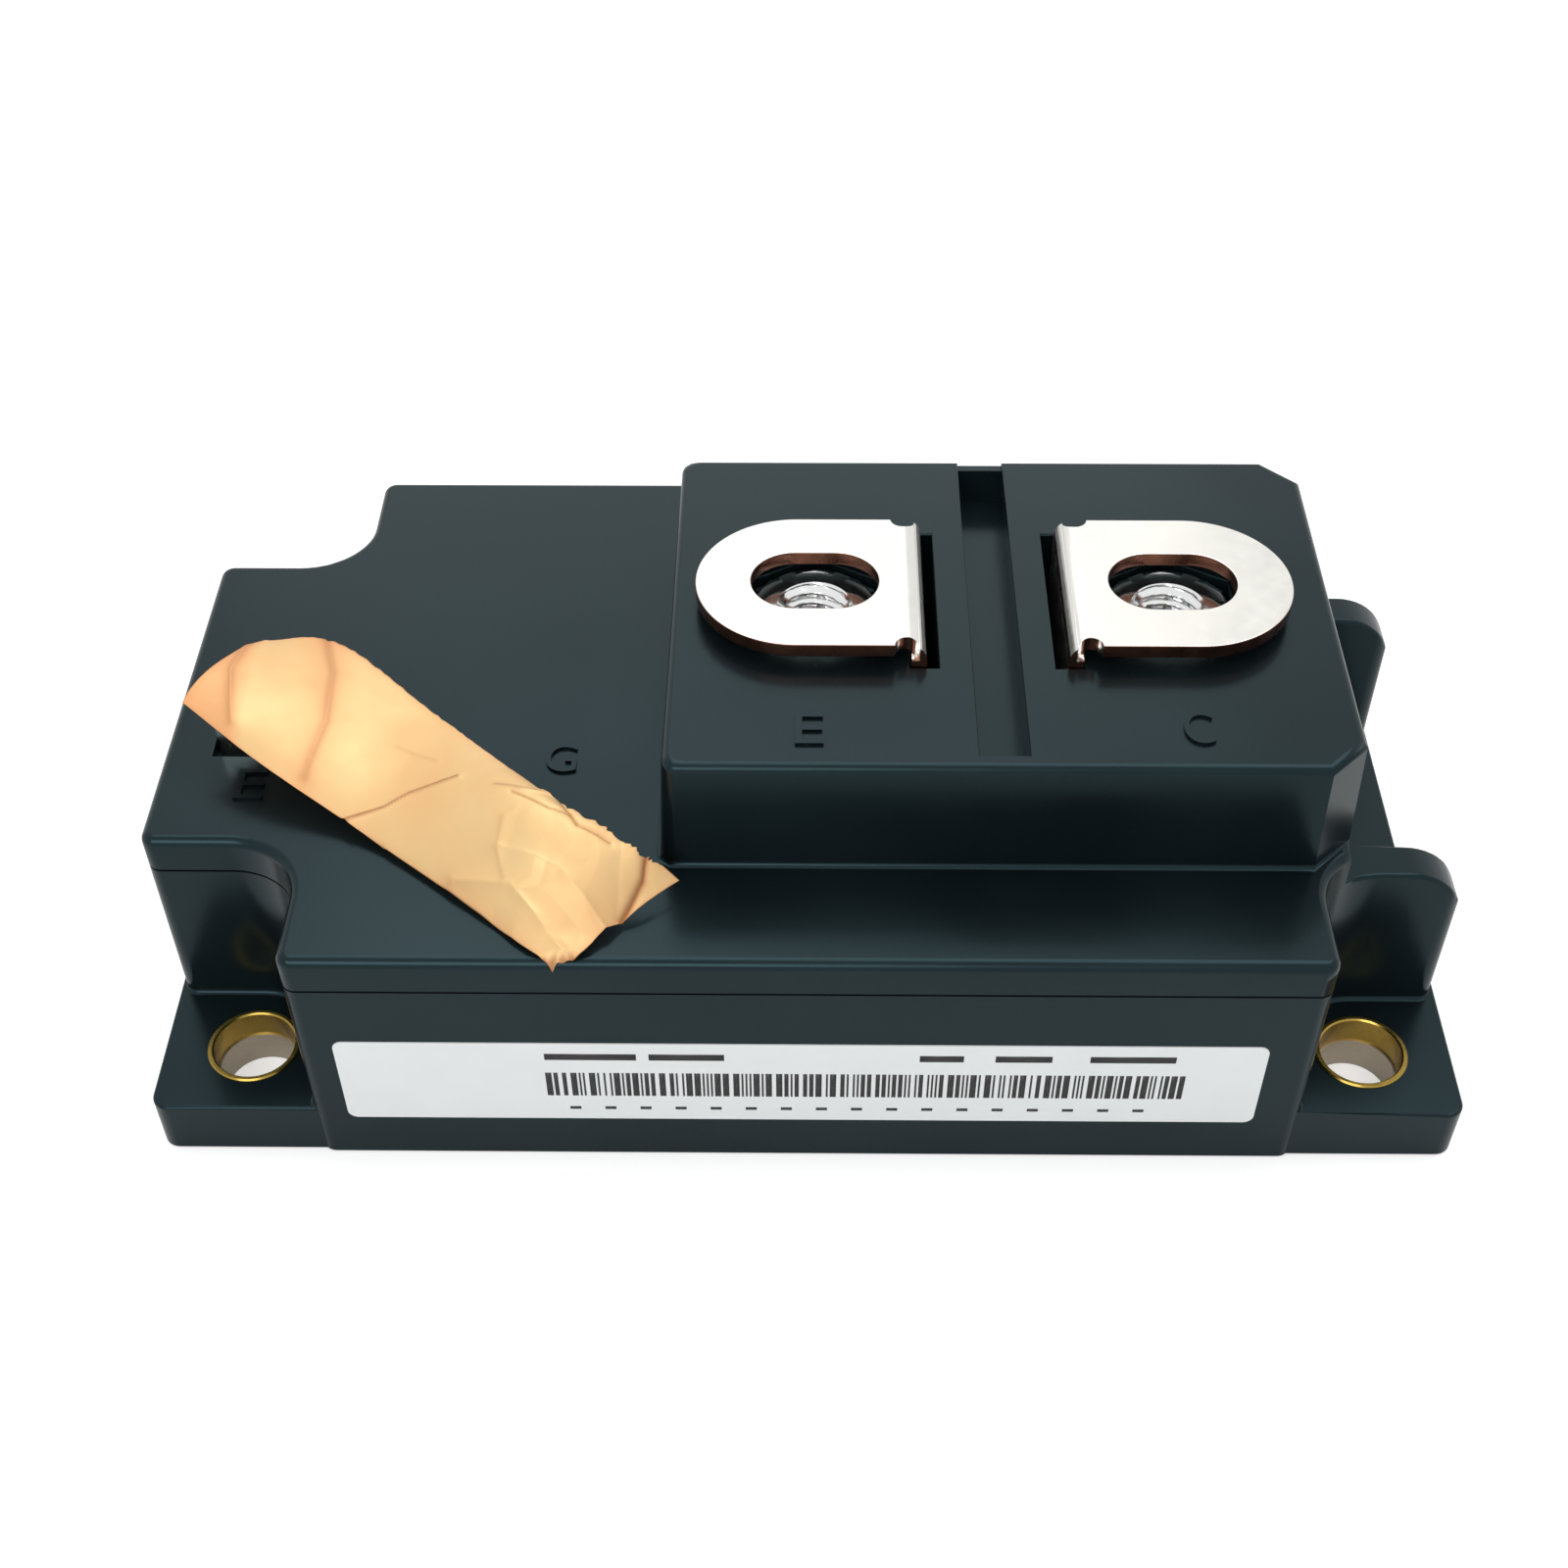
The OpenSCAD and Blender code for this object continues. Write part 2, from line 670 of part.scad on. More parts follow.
// Flat tab with a bevelled tip and a locking hole, from height z0 to its top
module blade(z0) {
    tip = blade_w / 5;
    rotate([90, 0, 0]) translate([0, 0, -blade_t / 2]) linear_extrude(blade_t)
        difference() {
            polygon([
                [-blade_w / 2, z0], [blade_w / 2, z0], [blade_w / 2, blade_top - tip],
                [blade_w / 2 - tip, blade_top], [tip - blade_w / 2, blade_top], [-blade_w / 2, blade_top - tip]
            ]);
            translate([0, blade_top - blade_w]) circle(blade_w / 5);
        }
}

// The gate tab runs down, steps forward over the chips and lands on the gate copper
module gate_terminal() {
    shelf_y = gate_foot_y + gate_y;
    color("#e8e4d8")
    translate([gate_x, gate_y, 0]) {
        blade(blade_arm_z);
        box([-blade_w / 2, -shelf_y - blade_t / 2, blade_arm_z - blade_t],
            [blade_w / 2, blade_t / 2, blade_arm_z]);
        box([-blade_w / 2, -shelf_y - blade_t / 2, chip_z],
            [blade_w / 2, blade_t / 2 - shelf_y, blade_arm_z - blade_t]);
    }
}

// The auxiliary emitter tab has a flat arm that reaches the sense copper
module aux_emitter_terminal() {
    pad_x = -(sense_pad_x0 + sense_pad_x1) / 2;
    color("#e8e4d8")
    translate([0, aux_y, 0]) {
        translate([aux_x, 0, 0]) blade(blade_arm_z);
        box([aux_x - blade_w / 2, -blade_t / 2, blade_arm_z - blade_arm_h],
            [pad_x + blade_leg_w / 2, blade_t / 2, blade_arm_z]);
        box([pad_x - blade_leg_w / 2, -blade_t / 2, chip_z],
            [pad_x + blade_leg_w / 2, blade_t / 2, blade_arm_z - blade_arm_h]);
    }
}

// ---------- Power circuit, drawn for the right-hand side ----------

module on_left() { mirror([1, 0, 0]) children(); }

module ceramic() {
    color("#e9e6df")
    translate([ceramic_x, 0, ceramic_z]) linear_extrude(ceramic_t)
        square([ceramic_l, ceramic_w], center = true);
}

module bottom_copper() {
    color("#c77b4a")
    translate([ceramic_x, 0, copper_z]) linear_extrude(copper_t)
        square([ceramic_l - 2 * copper_margin, ceramic_w - 2 * copper_margin], center = true);
}

module top_copper() {
    color("#c77b4a") {
        box([emitter_pad_x0, -pad_y, pad_z], [emitter_pad_x1, pad_y, chip_z]);
        box([collector_pad_x0, -collector_pad_y, pad_z], [collector_pad_x1, collector_pad_y, chip_z]);
        box([sense_pad_x0, -collector_pad_y, pad_z], [sense_pad_x1, collector_pad_y, chip_z]);
        for (y = [gate_pad_y0, -pad_y])
            box([collector_pad_x0, y, pad_z], [sense_pad_x1, y + gate_pad_w, chip_z]);
    }
}

module chips(x, side) {
    for (y = [-1, 1])
        translate([x - side / 2, y * chip_y - side / 2, chip_z]) cube([side, side, chip_t]);
}

module igbt_chips() { color("#5b6168") chips(igbt_x, igbt_side); }
module diode_chips() { color("#6a7078") chips(diode_x, diode_side); }

// Wire arch in the XZ plane from x0 to x1, standing on heights z0 and z1
module bond_wire(x0, x1, z0, z1) {
    span = x1 - x0;
    r = (span * span / 4 + wire_loop * wire_loop) / (2 * wire_loop);
    mid = (x0 + x1) / 2;
    intersection() {
        translate([mid, 0, wire_z + wire_loop - r]) rotate([90, 0, 0])
            rotate_extrude() translate([r, 0]) circle(wire_r, $fn = 8);
        union() {
            box([x0 - span, -1, z0], [mid, 1, wire_z + span]);
            box([mid, -1, z1], [x1 + span, 1, wire_z + span]);
        }
    }
}

module bond_wires() {
    gate_bond_y = chip_y + igbt_side / 2 - gate_bond_in;
    color("#d8dadc")
    for (side = [-1, 1]) {
        for (k = [-1:1])
            translate([0, side * chip_y + k * wire_pitch, 0]) {
                bond_wire(emitter_bond_x, diode_x - wire_step / 2, chip_z, wire_z);
                bond_wire(diode_x + wire_step / 2, igbt_x, wire_z, wire_z);
            }
        translate([igbt_x + wire_step, 0, 0]) rotate(side * 90)
            bond_wire(gate_bond_y, gate_foot_y, wire_z, chip_z);
    }
}

// Strap that bridges the gap between the substrates, with a foot at each end
module strap(reach, y) {
    top = chip_z + strap_rise + strap_t;
    translate([0, y + strap_w / 2, 0]) rotate([90, 0, 0]) linear_extrude(strap_w) {
        translate([-reach, top - strap_t]) square([2 * reach, strap_t]);
        for (x = [-reach, reach - strap_t])
            translate([x, chip_z]) square([strap_t, top - chip_z]);
        for (x = [-reach, reach - strap_foot])
            translate([x, chip_z]) square([strap_foot, strap_t]);
    }
}

module emitter_strap() { color("#c77b4a") strap(emitter_pad_x0 + strap_in, strap_y); }
module collector_strap() { color("#c77b4a") strap(collector_pad_x0 + strap_in, -strap_y); }

module gate_resistors() {
    color("#2b2b2b")
    for (x = [-1, 1], y = [-1, 1])
        translate([x * (collector_pad_x0 + resistor_l), y * gate_foot_y, chip_z + resistor_h / 2])
            cube([resistor_l, resistor_w, resistor_h], center = true);
}

module silicone_gel() {
    color([0.85, 0.88, 0.9, 0.4])
    difference() {
        translate([0, 0, gel_z]) linear_extrude(gel_t) body_plan(wall);
        emitter_terminal();
        collector_terminal();
        gate_terminal();
        aux_emitter_terminal();
    }
}

module left_bottom_copper() { on_left() bottom_copper(); }
module right_bottom_copper() { bottom_copper(); }
module left_ceramic() { on_left() ceramic(); }
module right_ceramic() { ceramic(); }
module left_top_copper() { on_left() top_copper(); }
module right_top_copper() { top_copper(); }
module left_igbt_chips() { on_left() igbt_chips(); }
module right_igbt_chips() { igbt_chips(); }
module left_diode_chips() { on_left() diode_chips(); }
module right_diode_chips() { diode_chips(); }
module left_bond_wires() { on_left() bond_wires(); }
module right_bond_wires() { bond_wires(); }

// ---------- Label and shorting foil ----------

module label() {
    color("#eef1f2")
    translate([label_x, -module_w / 2, label_z + label_h / 2]) rotate([90, 0, 0])
        linear_extrude(label_t) rounded_rect(label_l, label_h, label_r);
}

module shorting_foil() {
    rows = len(foil_rows);
    n = len(foil_rows[0]);
    low = [for (k = [0:n - 1], row = foil_rows) foil_point(k, row[k])];
    points = concat(low, [for (p = low) p + [0, 0, foil_t]]);
    m = len(low);
    runs = [for (k = [0:n - 2]) k * rows];
    last = m - rows;
    far = rows - 1;
    color("#f2b27a")
    polyhedron(points = points, faces = concat(
        [for (a = runs, j = [a:a + rows - 2]) each [[j, j + rows, j + rows + 1], [j, j + rows + 1, j + 1]]],
        [for (a = runs, j = [a + m:a + m + rows - 2]) each [[j, j + rows + 1, j + rows], [j, j + 1, j + rows + 1]]],
        [for (a = runs) each [[a, m + a, m + a + rows], [a, m + a + rows, a + rows]]],
        [for (a = runs) let (b = a + far) each [[b, b + rows, m + b + rows], [b, m + b + rows, m + b]]],
        [for (j = [0:far - 1]) each [[j, j + 1, m + j + 1], [j, m + j + 1, m + j]]],
        [for (j = [last:last + far - 1]) each [[j, m + j, m + j + 1], [j, m + j + 1, j + 1]]]
    ));
}

base_plate();
case();
lid();
bush_front_left();
bush_front_right();
bush_rear_left();
bush_rear_right();
emitter_terminal();
collector_terminal();
emitter_nut();
collector_nut();
gate_terminal();
aux_emitter_terminal();
label();
shorting_foil();
left_bottom_copper();
right_bottom_copper();
left_ceramic();
right_ceramic();
left_top_copper();
right_top_copper();
left_igbt_chips();
right_igbt_chips();
left_diode_chips();
right_diode_chips();
left_bond_wires();
right_bond_wires();
emitter_strap();
collector_strap();
gate_resistors();
silicone_gel();
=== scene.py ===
import json
import math

import bmesh
import bpy
import numpy as np
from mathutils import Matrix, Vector


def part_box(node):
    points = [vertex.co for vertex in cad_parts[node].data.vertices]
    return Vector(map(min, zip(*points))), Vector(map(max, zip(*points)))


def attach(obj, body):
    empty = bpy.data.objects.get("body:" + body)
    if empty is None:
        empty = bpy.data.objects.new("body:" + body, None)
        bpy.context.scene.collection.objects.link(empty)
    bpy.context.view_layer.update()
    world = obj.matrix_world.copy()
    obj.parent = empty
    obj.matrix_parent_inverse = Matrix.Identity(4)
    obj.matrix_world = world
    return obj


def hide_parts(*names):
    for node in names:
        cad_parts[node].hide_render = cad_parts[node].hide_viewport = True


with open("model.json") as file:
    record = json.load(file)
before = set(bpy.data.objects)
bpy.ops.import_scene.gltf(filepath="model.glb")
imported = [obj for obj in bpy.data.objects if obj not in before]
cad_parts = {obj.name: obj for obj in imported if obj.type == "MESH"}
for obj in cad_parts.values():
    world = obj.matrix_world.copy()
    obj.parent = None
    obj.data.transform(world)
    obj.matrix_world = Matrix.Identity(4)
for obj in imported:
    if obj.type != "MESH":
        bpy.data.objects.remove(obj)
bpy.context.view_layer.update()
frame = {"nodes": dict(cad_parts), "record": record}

bl_info = {
    "name": "IGBT Power Module",
    "version": (1, 0, 0),
    "blender": (4, 5, 0),
    "location": "View3D > Sidebar > Power Module",
    "description": "Builds a screw-terminal power module with its housing, tabs, nuts, label and foil",
    "category": "Add Mesh",
}

MM = 0.001
BODY = "root"
NODES = frame["nodes"]


def node_box(node):
    """Lowest and highest corner of a CAD node in millimetres, as two arrays."""
    low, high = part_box(node)
    return np.array(low) / MM, np.array(high) / MM


BLADE_WIDTH = 2.8
BLADE_THICKNESS = 0.5
BUSH_PROUD = 0.2
GATE_LOW, GATE_HIGH = node_box("gate_terminal")
AUX_LOW, AUX_HIGH = node_box("aux_emitter_terminal")
# Middles of the two control tabs on the deck's plan
TAB_PLACES = [
    ((GATE_LOW[0] + GATE_HIGH[0]) / 2, GATE_HIGH[1] - BLADE_THICKNESS / 2),
    (AUX_LOW[0] + BLADE_WIDTH / 2, (AUX_LOW[1] + AUX_HIGH[1]) / 2),
]
EAR_TOP = node_box("bush_front_left")[1][2] - BUSH_PROUD
DECK = 23.7
BLOCK_TOP = node_box("lid")[1][2]

# An edge lies on a level within TOUCH mm. A face is level where the upward part of its normal
# is above LEVEL, and an edge is a corner where it folds by more than CORNER degrees
TOUCH = 0.01
LEVEL = 0.99
CORNER = 60


# ---------- Settings a user would change ----------


def amount(name, description, default, low, high):
    """Setting for a plain number, in millimetres where it is a length."""
    return bpy.props.FloatProperty(name=name, description=description, default=default, min=low, max=high)


def colour(name, description, *default):
    """Setting for an opaque colour."""
    return bpy.props.FloatVectorProperty(
        name=name, description=description, subtype="COLOR", size=4, min=0, max=1, default=(*default, 1))


class HousingSettings(bpy.types.PropertyGroup):
    deck_round: amount("Deck edge radius", "Radius of the lid's outer top edge", 0.8, 0.1, 1.2)
    ear_round: amount("Ear edge radius", "Radius of the ears' top edge", 0.25, 0.05, 0.26)
    foot_round: amount("Foot fillet", "Radius where a wall meets an ear or the deck", 0.45, 0.1, 1.0)
    fin_round: amount("Fin edge radius", "Radius of the end fins' edges", 0.35, 0.1, 0.8)
    fine_round: amount("Fine edge radius", "Radius of pockets, slots and recesses", 0.14, 0.02, 0.3)
    plastic: colour("Plastic", "Colour of the moulded plastic", 0.0045, 0.0075, 0.0088)
    plastic_gloss: amount("Plastic roughness", "Roughness of the moulded surface", 0.21, 0, 1)


class MetalSettings(bpy.types.PropertyGroup):
    sheet_round: amount("Sheet edge radius", "Radius of the punched tabs' edges", 0.1, 0.02, 0.2)
    nickel: colour("Nickel", "Colour of the nickel plated tabs", 0.77, 0.755, 0.71)
    copper: colour("Copper", "Colour of bare copper", 0.83, 0.43, 0.30)
    cut_edge: colour("Cut edges", "Colour of the tabs' dull punched edges", 0.20, 0.085, 0.055)
    brass: colour("Brass", "Colour of the mounting bushes", 0.46, 0.31, 0.07)
    zinc: colour("Zinc", "Colour of the zinc plated nuts", 0.86, 0.87, 0.87)
    plate: colour("Base plate", "Colour of the dull nickel base plate", 0.62, 0.56, 0.47)
    thread_pitch: amount("Thread pitch", "Pitch of the nuts' thread", 1.0, 0.5, 1.5)


class TrimSettings(bpy.types.PropertyGroup):
    label: colour("Label", "Colour of the label stock", 0.80, 0.83, 0.83)
    foil: colour("Foil", "Colour of the copper foil", 0.78, 0.54, 0.25)
    foil_warm: colour("Warm foil", "Colour of the foil's folds and edges", 0.76, 0.36, 0.15)
    foil_crumple: amount("Foil crumple", "Height of the foil's creases", 0.55, 0, 1.5)
    mark_height: amount("Mark relief", "How far the terminal marks stand out", 0.25, 0.02, 0.4)


# ---------- Mesh helpers ----------


def add_object(name, mesh, materials):
    """Links a mesh as a piece of the part, on the only body, with its materials."""
    obj = bpy.data.objects.new(name, mesh)
    bpy.context.scene.collection.objects.link(obj)
    for material in materials:
        mesh.materials.append(material)
    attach(obj, BODY)
    return obj


def mesh_from_arrays(name, points, faces, smooth_angle=None):
    """Mesh from an (n, 3) array of points in millimetres and an (m, 3 or 4) array of faces."""
    mesh = bpy.data.meshes.new(name)
    sides = faces.shape[1]
    mesh.vertices.add(len(points))
    mesh.vertices.foreach_set("co", (np.asarray(points, float) * MM).ravel())
    mesh.loops.add(faces.size)
    mesh.loops.foreach_set("vertex_index", faces.astype(np.int32).ravel())
    mesh.polygons.add(len(faces))
    mesh.polygons.foreach_set("loop_start", np.arange(0, faces.size, sides, dtype=np.int32))
    mesh.update(calc_edges=True)
    mesh.validate()
    if smooth_angle is not None:
        mesh.shade_smooth()
        mesh.set_sharp_from_angle(angle=math.radians(smooth_angle))
    return mesh


def grid_faces(rows, columns, close_rows=False, close_columns=False):
    """Quads over a grid of rows x columns points, joined end to end where asked."""
    r = np.arange(rows if close_rows else rows - 1)
    c = np.arange(columns if close_columns else columns - 1)
    r, c = np.meshgrid(r, c, indexing="ij")
    r, c = r.ravel(), c.ravel()
    r1, c1 = (r + 1) % rows, (c + 1) % columns
    return np.stack([r * columns + c, r * columns + c1, r1 * columns + c1, r1 * columns + c], 1)


def merged_copy(node):
    """bmesh of a CAD node with its doubles merged and its flat faces joined."""
    bm = bmesh.new()
    bm.from_mesh(NODES[node].data)
    bmesh.ops.remove_doubles(bm, verts=bm.verts, dist=2e-6)
    bmesh.ops.dissolve_limit(bm, angle_limit=math.radians(0.6), verts=bm.verts, edges=bm.edges, delimit=set())
    bm.normal_update()
    return bm


def mark_edges(bm, radius_of):
    """Stores the rounding radius in millimetres of each edge as its bevel weight.

    radius_of(middle, fold, ups, edge) gives the radius, or 0 where the edge stays sharp.
    """
    layer = bm.edges.layers.float.new("bevel_weight_edge")
    for edge in bm.edges:
        if len(edge.link_faces) == 2:
            radius = radius_of(*edge_facts(edge), edge)
            if radius:
                edge[layer] = radius


def edge_facts(edge):
    """Middle of an edge in millimetres, its fold in degrees and the upward parts of its faces' normals.

    The fold is positive where the edge stands out and negative where it is hollow.
    """
    a, b = edge.verts
    middle = (a.co + b.co) / (2 * MM)
    fold = math.degrees(edge.calc_face_angle_signed(0.0))
    ups = sorted(f.normal.z for f in edge.link_faces)
    return middle, fold, ups


def finish_copy(bm, name, node, materials, segments=3, smooth_angle=35):
    """Turns a marked copy into a piece with rounded edges that stands for its CAD node."""
    mesh = bpy.data.meshes.new(name)
    bm.to_mesh(mesh)
    bm.free()
    obj = add_object(name, mesh, materials)
    bevel = obj.modifiers.new("Rounded edges", "BEVEL")
    bevel.limit_method = "WEIGHT"
    bevel.width = MM
    bevel.segments = segments
    bevel.use_clamp_overlap = False
    depsgraph = bpy.context.evaluated_depsgraph_get()
    rounded = bpy.data.meshes.new_from_object(obj.evaluated_get(depsgraph))
    obj.modifiers.clear()
    obj.data = rounded
    bpy.data.meshes.remove(mesh)
    rounded.name = name
    rounded.shade_smooth()
    rounded.set_sharp_from_angle(angle=math.radians(smooth_angle))
    weighted = obj.modifiers.new("Flat faces stay flat", "WEIGHTED_NORMAL")
    weighted.keep_sharp = True
    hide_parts(node)
    return obj


# ---------- Materials ----------


def new_material(name):
    material = bpy.data.materials.new(name)
    material.use_nodes = True
    nodes = material.node_tree.nodes
    return material, nodes, material.node_tree.links, nodes["Principled BSDF"]


def coordinates(nodes, links, scale=(1, 1, 1)):
    """Object coordinates stretched by scale, as a socket."""
    where = nodes.new("ShaderNodeTexCoord")
    mapping = nodes.new("ShaderNodeMapping")
    mapping.inputs["Scale"].default_value = scale
    links.new(where.outputs["Object"], mapping.inputs["Vector"])
    return mapping.outputs["Vector"]


def noise(nodes, links, vector, scale, detail=3.0, rough=0.5):
    texture = nodes.new("ShaderNodeTexNoise")
    texture.inputs["Scale"].default_value = scale
    texture.inputs["Detail"].default_value = detail
    texture.inputs["Roughness"].default_value = rough
    links.new(vector, texture.inputs["Vector"])
    return texture.outputs["Fac"]


def spread(nodes, links, value, low, high, from_low=0.3, from_high=0.7):
    """Maps a value from one range to another."""
    span = nodes.new("ShaderNodeMapRange")
    span.inputs["From Min"].default_value = from_low
    span.inputs["From Max"].default_value = from_high
    span.inputs["To Min"].default_value = low
    span.inputs["To Max"].default_value = high
    links.new(value, span.inputs["Value"])
    return span.outputs["Result"]


def blend_colours(nodes, links, value, first, second):
    """Blends two colours, each a plain colour or another node's output, by a value from 0 to 1."""
    mix = nodes.new("ShaderNodeMix")
    mix.data_type = "RGBA"
    for name, tone in (("A", first), ("B", second)):
        if isinstance(tone, bpy.types.NodeSocket):
            links.new(tone, mix.inputs[name])
        else:
            mix.inputs[name].default_value = tone
    links.new(value, mix.inputs["Factor"])
    return mix.outputs["Result"]


def add_bump(nodes, links, shader, height, strength, distance):
    bump = nodes.new("ShaderNodeBump")
    bump.inputs["Strength"].default_value = strength
    bump.inputs["Distance"].default_value = distance
    links.new(height, bump.inputs["Height"])
    links.new(bump.outputs["Normal"], shader.inputs["Normal"])


def shade(colour, k):
    return (colour[0] * k, colour[1] * k, colour[2] * k, 1)


def plastic_material(name, colour, roughness):
    """Moulded plastic: deep colour, a soft sheen that varies a little, and a fine moulded grain."""
    material, nodes, links, shader = new_material(name)
    vector = coordinates(nodes, links)
    clouds = noise(nodes, links, vector, 60, 2)
    share = spread(nodes, links, clouds, 0, 1)
    tone = blend_colours(nodes, links, share, shade(colour, 0.8), shade(colour, 1.25))
    links.new(tone, shader.inputs["Base Color"])
    links.new(spread(nodes, links, clouds, roughness - 0.03, roughness + 0.04), shader.inputs["Roughness"])
    shader.inputs["Specular IOR Level"].default_value = 0.30
    shader.inputs["Specular Tint"].default_value = (0.48, 0.88, 1.0, 1)
    add_bump(nodes, links, shader, noise(nodes, links, vector, 2600, 2), 0.06, 0.00004)
    return material


# Painted shade: dark brown blended into the foil's sharp folds and its tucked-under tip, where shade falls
FOLD_SHADE_TONE = (0.30, 0.085, 0.02, 1)


def foil_material(name, colour, warm, roughness):
    """Copper foil: its tone warms towards the edges and painted shade darkens it in the folds, by the mesh's
    own values.

    It is only partly metallic, because crumpled foil scatters much of its light.
    """
    material, nodes, links, shader = new_material(name)
    vector = coordinates(nodes, links)
    clouds = noise(nodes, links, vector, 160, 3)
    warmth, fold_shade = (nodes.new("ShaderNodeAttribute") for _ in range(2))
    warmth.attribute_name = "warmth"
    fold_shade.attribute_name = "fold_shade"
    toned = blend_colours(nodes, links, warmth.outputs["Fac"], colour, warm)
    faint = nodes.new("ShaderNodeMath")
    faint.operation = "MULTIPLY"
    faint.inputs[1].default_value = 0.35
    links.new(spread(nodes, links, clouds, 0, 1), faint.inputs[0])
    clouded = blend_colours(nodes, links, faint.outputs[0], toned, warm)
    # Painted shade: the per-point fold values pull the colour towards the dark fold tone
    fold_shaded = blend_colours(nodes, links, fold_shade.outputs["Fac"], clouded, FOLD_SHADE_TONE)
    links.new(fold_shaded, shader.inputs["Base Color"])
    shader.inputs["Metallic"].default_value = 0.35
    links.new(spread(nodes, links, clouds, roughness - 0.06, roughness + 0.08), shader.inputs["Roughness"])
    return material


def metal_material(name, colour, roughness, grain=(1, 1, 1), grain_scale=900, dark=0.8, bump=0.05):
    """Metal whose tone and roughness follow a stretched grain, with faint broad clouding."""
    material, nodes, links, shader = new_material(name)
    vector = coordinates(nodes, links, grain)
    fine = noise(nodes, links, vector, grain_scale, 4)
    broad = noise(nodes, links, coordinates(nodes, links), 120, 3)
    tone = blend_colours(nodes, links, spread(nodes, links, broad, 0, 1), shade(colour, dark), colour)
    links.new(tone, shader.inputs["Base Color"])
    shader.inputs["Metallic"].default_value = 1.0
    links.new(spread(nodes, links, fine, roughness * 0.8, roughness * 1.25), shader.inputs["Roughness"])
    add_bump(nodes, links, shader, fine, bump, 0.00005)
    return material


def plain_material(name, colour, roughness, variation=0.9, scale=400, bump=0.05):
    """Matte surface with a slight mottling."""
    material, nodes, links, shader = new_material(name)
    mottle = noise(nodes, links, coordinates(nodes, links), scale, 3)
    tone = blend_colours(nodes, links, spread(nodes, links, mottle, 0, 1), shade(colour, variation), colour)
    links.new(tone, shader.inputs["Base Color"])
    shader.inputs["Roughness"].default_value = roughness
    add_bump(nodes, links, shader, mottle, bump, 0.00005)
    return material


MATERIALS = {}


def material_once(name, maker, *args, **words):
    if name not in MATERIALS:
        MATERIALS[name] = maker(name, *args, **words)
    return MATERIALS[name]


def plastic():
    s = bpy.context.scene.module_housing
    return material_once("black_plastic", plastic_material, tuple(s.plastic), s.plastic_gloss)


def nickel():
    s = bpy.context.scene.module_metal
    return material_once("nickel_terminal", metal_material, tuple(s.nickel), 0.22, dark=0.95, bump=0.03)


def copper():
    s = bpy.context.scene.module_metal
    return material_once("copper", metal_material, tuple(s.copper), 0.3, dark=0.7)


def paint_node(node, material):
    """Puts one material on a CAD node that is shown as it is."""
    mesh = NODES[node].data
    mesh.materials.clear()
    mesh.materials.append(material)


# ---------- Housing ----------


class MODULE_OT_lid(bpy.types.Operator):
    """Lid and terminal block with rounded edges"""
    bl_idname = "module.lid"
    bl_label = "Lid"

    def execute(self, context):
        s = context.scene.module_housing
        bm = merged_copy("lid")
        recess_x, recess_y, recess_round = 2.6, 2.2, 0.1
        chamfer_foot = 0.28

        def radius_of(middle, fold, ups, edge):
            flat_above = ups[1] > LEVEL
            if abs(middle.z - DECK) < TOUCH and flat_above:
                in_recess = any(
                    abs(middle.x - x) < recess_x and abs(middle.y - y) < recess_y for x, y in TAB_PLACES)
                if fold > CORNER:
                    return recess_round if in_recess else s.deck_round
                if fold < -CORNER:
                    side = min(edge.link_faces, key=lambda f: abs(f.normal.z)).normal
                    return s.foot_round if min(abs(side.x), abs(side.y)) < 0.3 else chamfer_foot
            if abs(middle.z - BLOCK_TOP) < TOUCH and fold > CORNER and flat_above:
                return s.fine_round
            return 0

        mark_edges(bm, radius_of)
        finish_copy(bm, "lid_shell", "lid", [plastic()], segments=4)
        return {"FINISHED"}


class MODULE_OT_case(bpy.types.Operator):
    """Case with its mounting ears and end fins, edges rounded"""
    bl_idname = "module.case"
    bl_label = "Case"

    def execute(self, context):
        s = context.scene.module_housing
        bm = merged_copy("case")
        # Foot fillets shrink to this radius where an ear is only a narrow ledge
        ledge = 0.12
        ear_rim_x, ear_rim_y = 53.8, 29
        ledge_x, ledge_y = 52, 29.5
        fin_x = 43.6

        def radius_of(middle, fold, ups, edge):
            if abs(middle.z - EAR_TOP) < TOUCH and ups[1] > LEVEL:
                if fold > CORNER and (abs(middle.y) > ear_rim_y or abs(middle.x) > ear_rim_x):
                    return s.ear_round
                if fold < -CORNER:
                    wall = min(edge.link_faces, key=lambda f: abs(f.normal.z)).normal
                    share = math.atan2(abs(wall.y), abs(wall.x)) / (math.pi / 2)
                    if abs(middle.x) > ledge_x:
                        return ledge + (s.foot_round - ledge) * share
                    if abs(middle.y) > ledge_y:
                        return s.foot_round - (s.foot_round - ledge) * share
                    return s.foot_round
            if middle.x > fin_x and middle.z > EAR_TOP + 0.5 and fold > 50:
                return s.fin_round
            return 0

        mark_edges(bm, radius_of)
        finish_copy(bm, "case_shell", "case", [plastic()])
        return {"FINISHED"}


# ---------- Metal pieces ----------


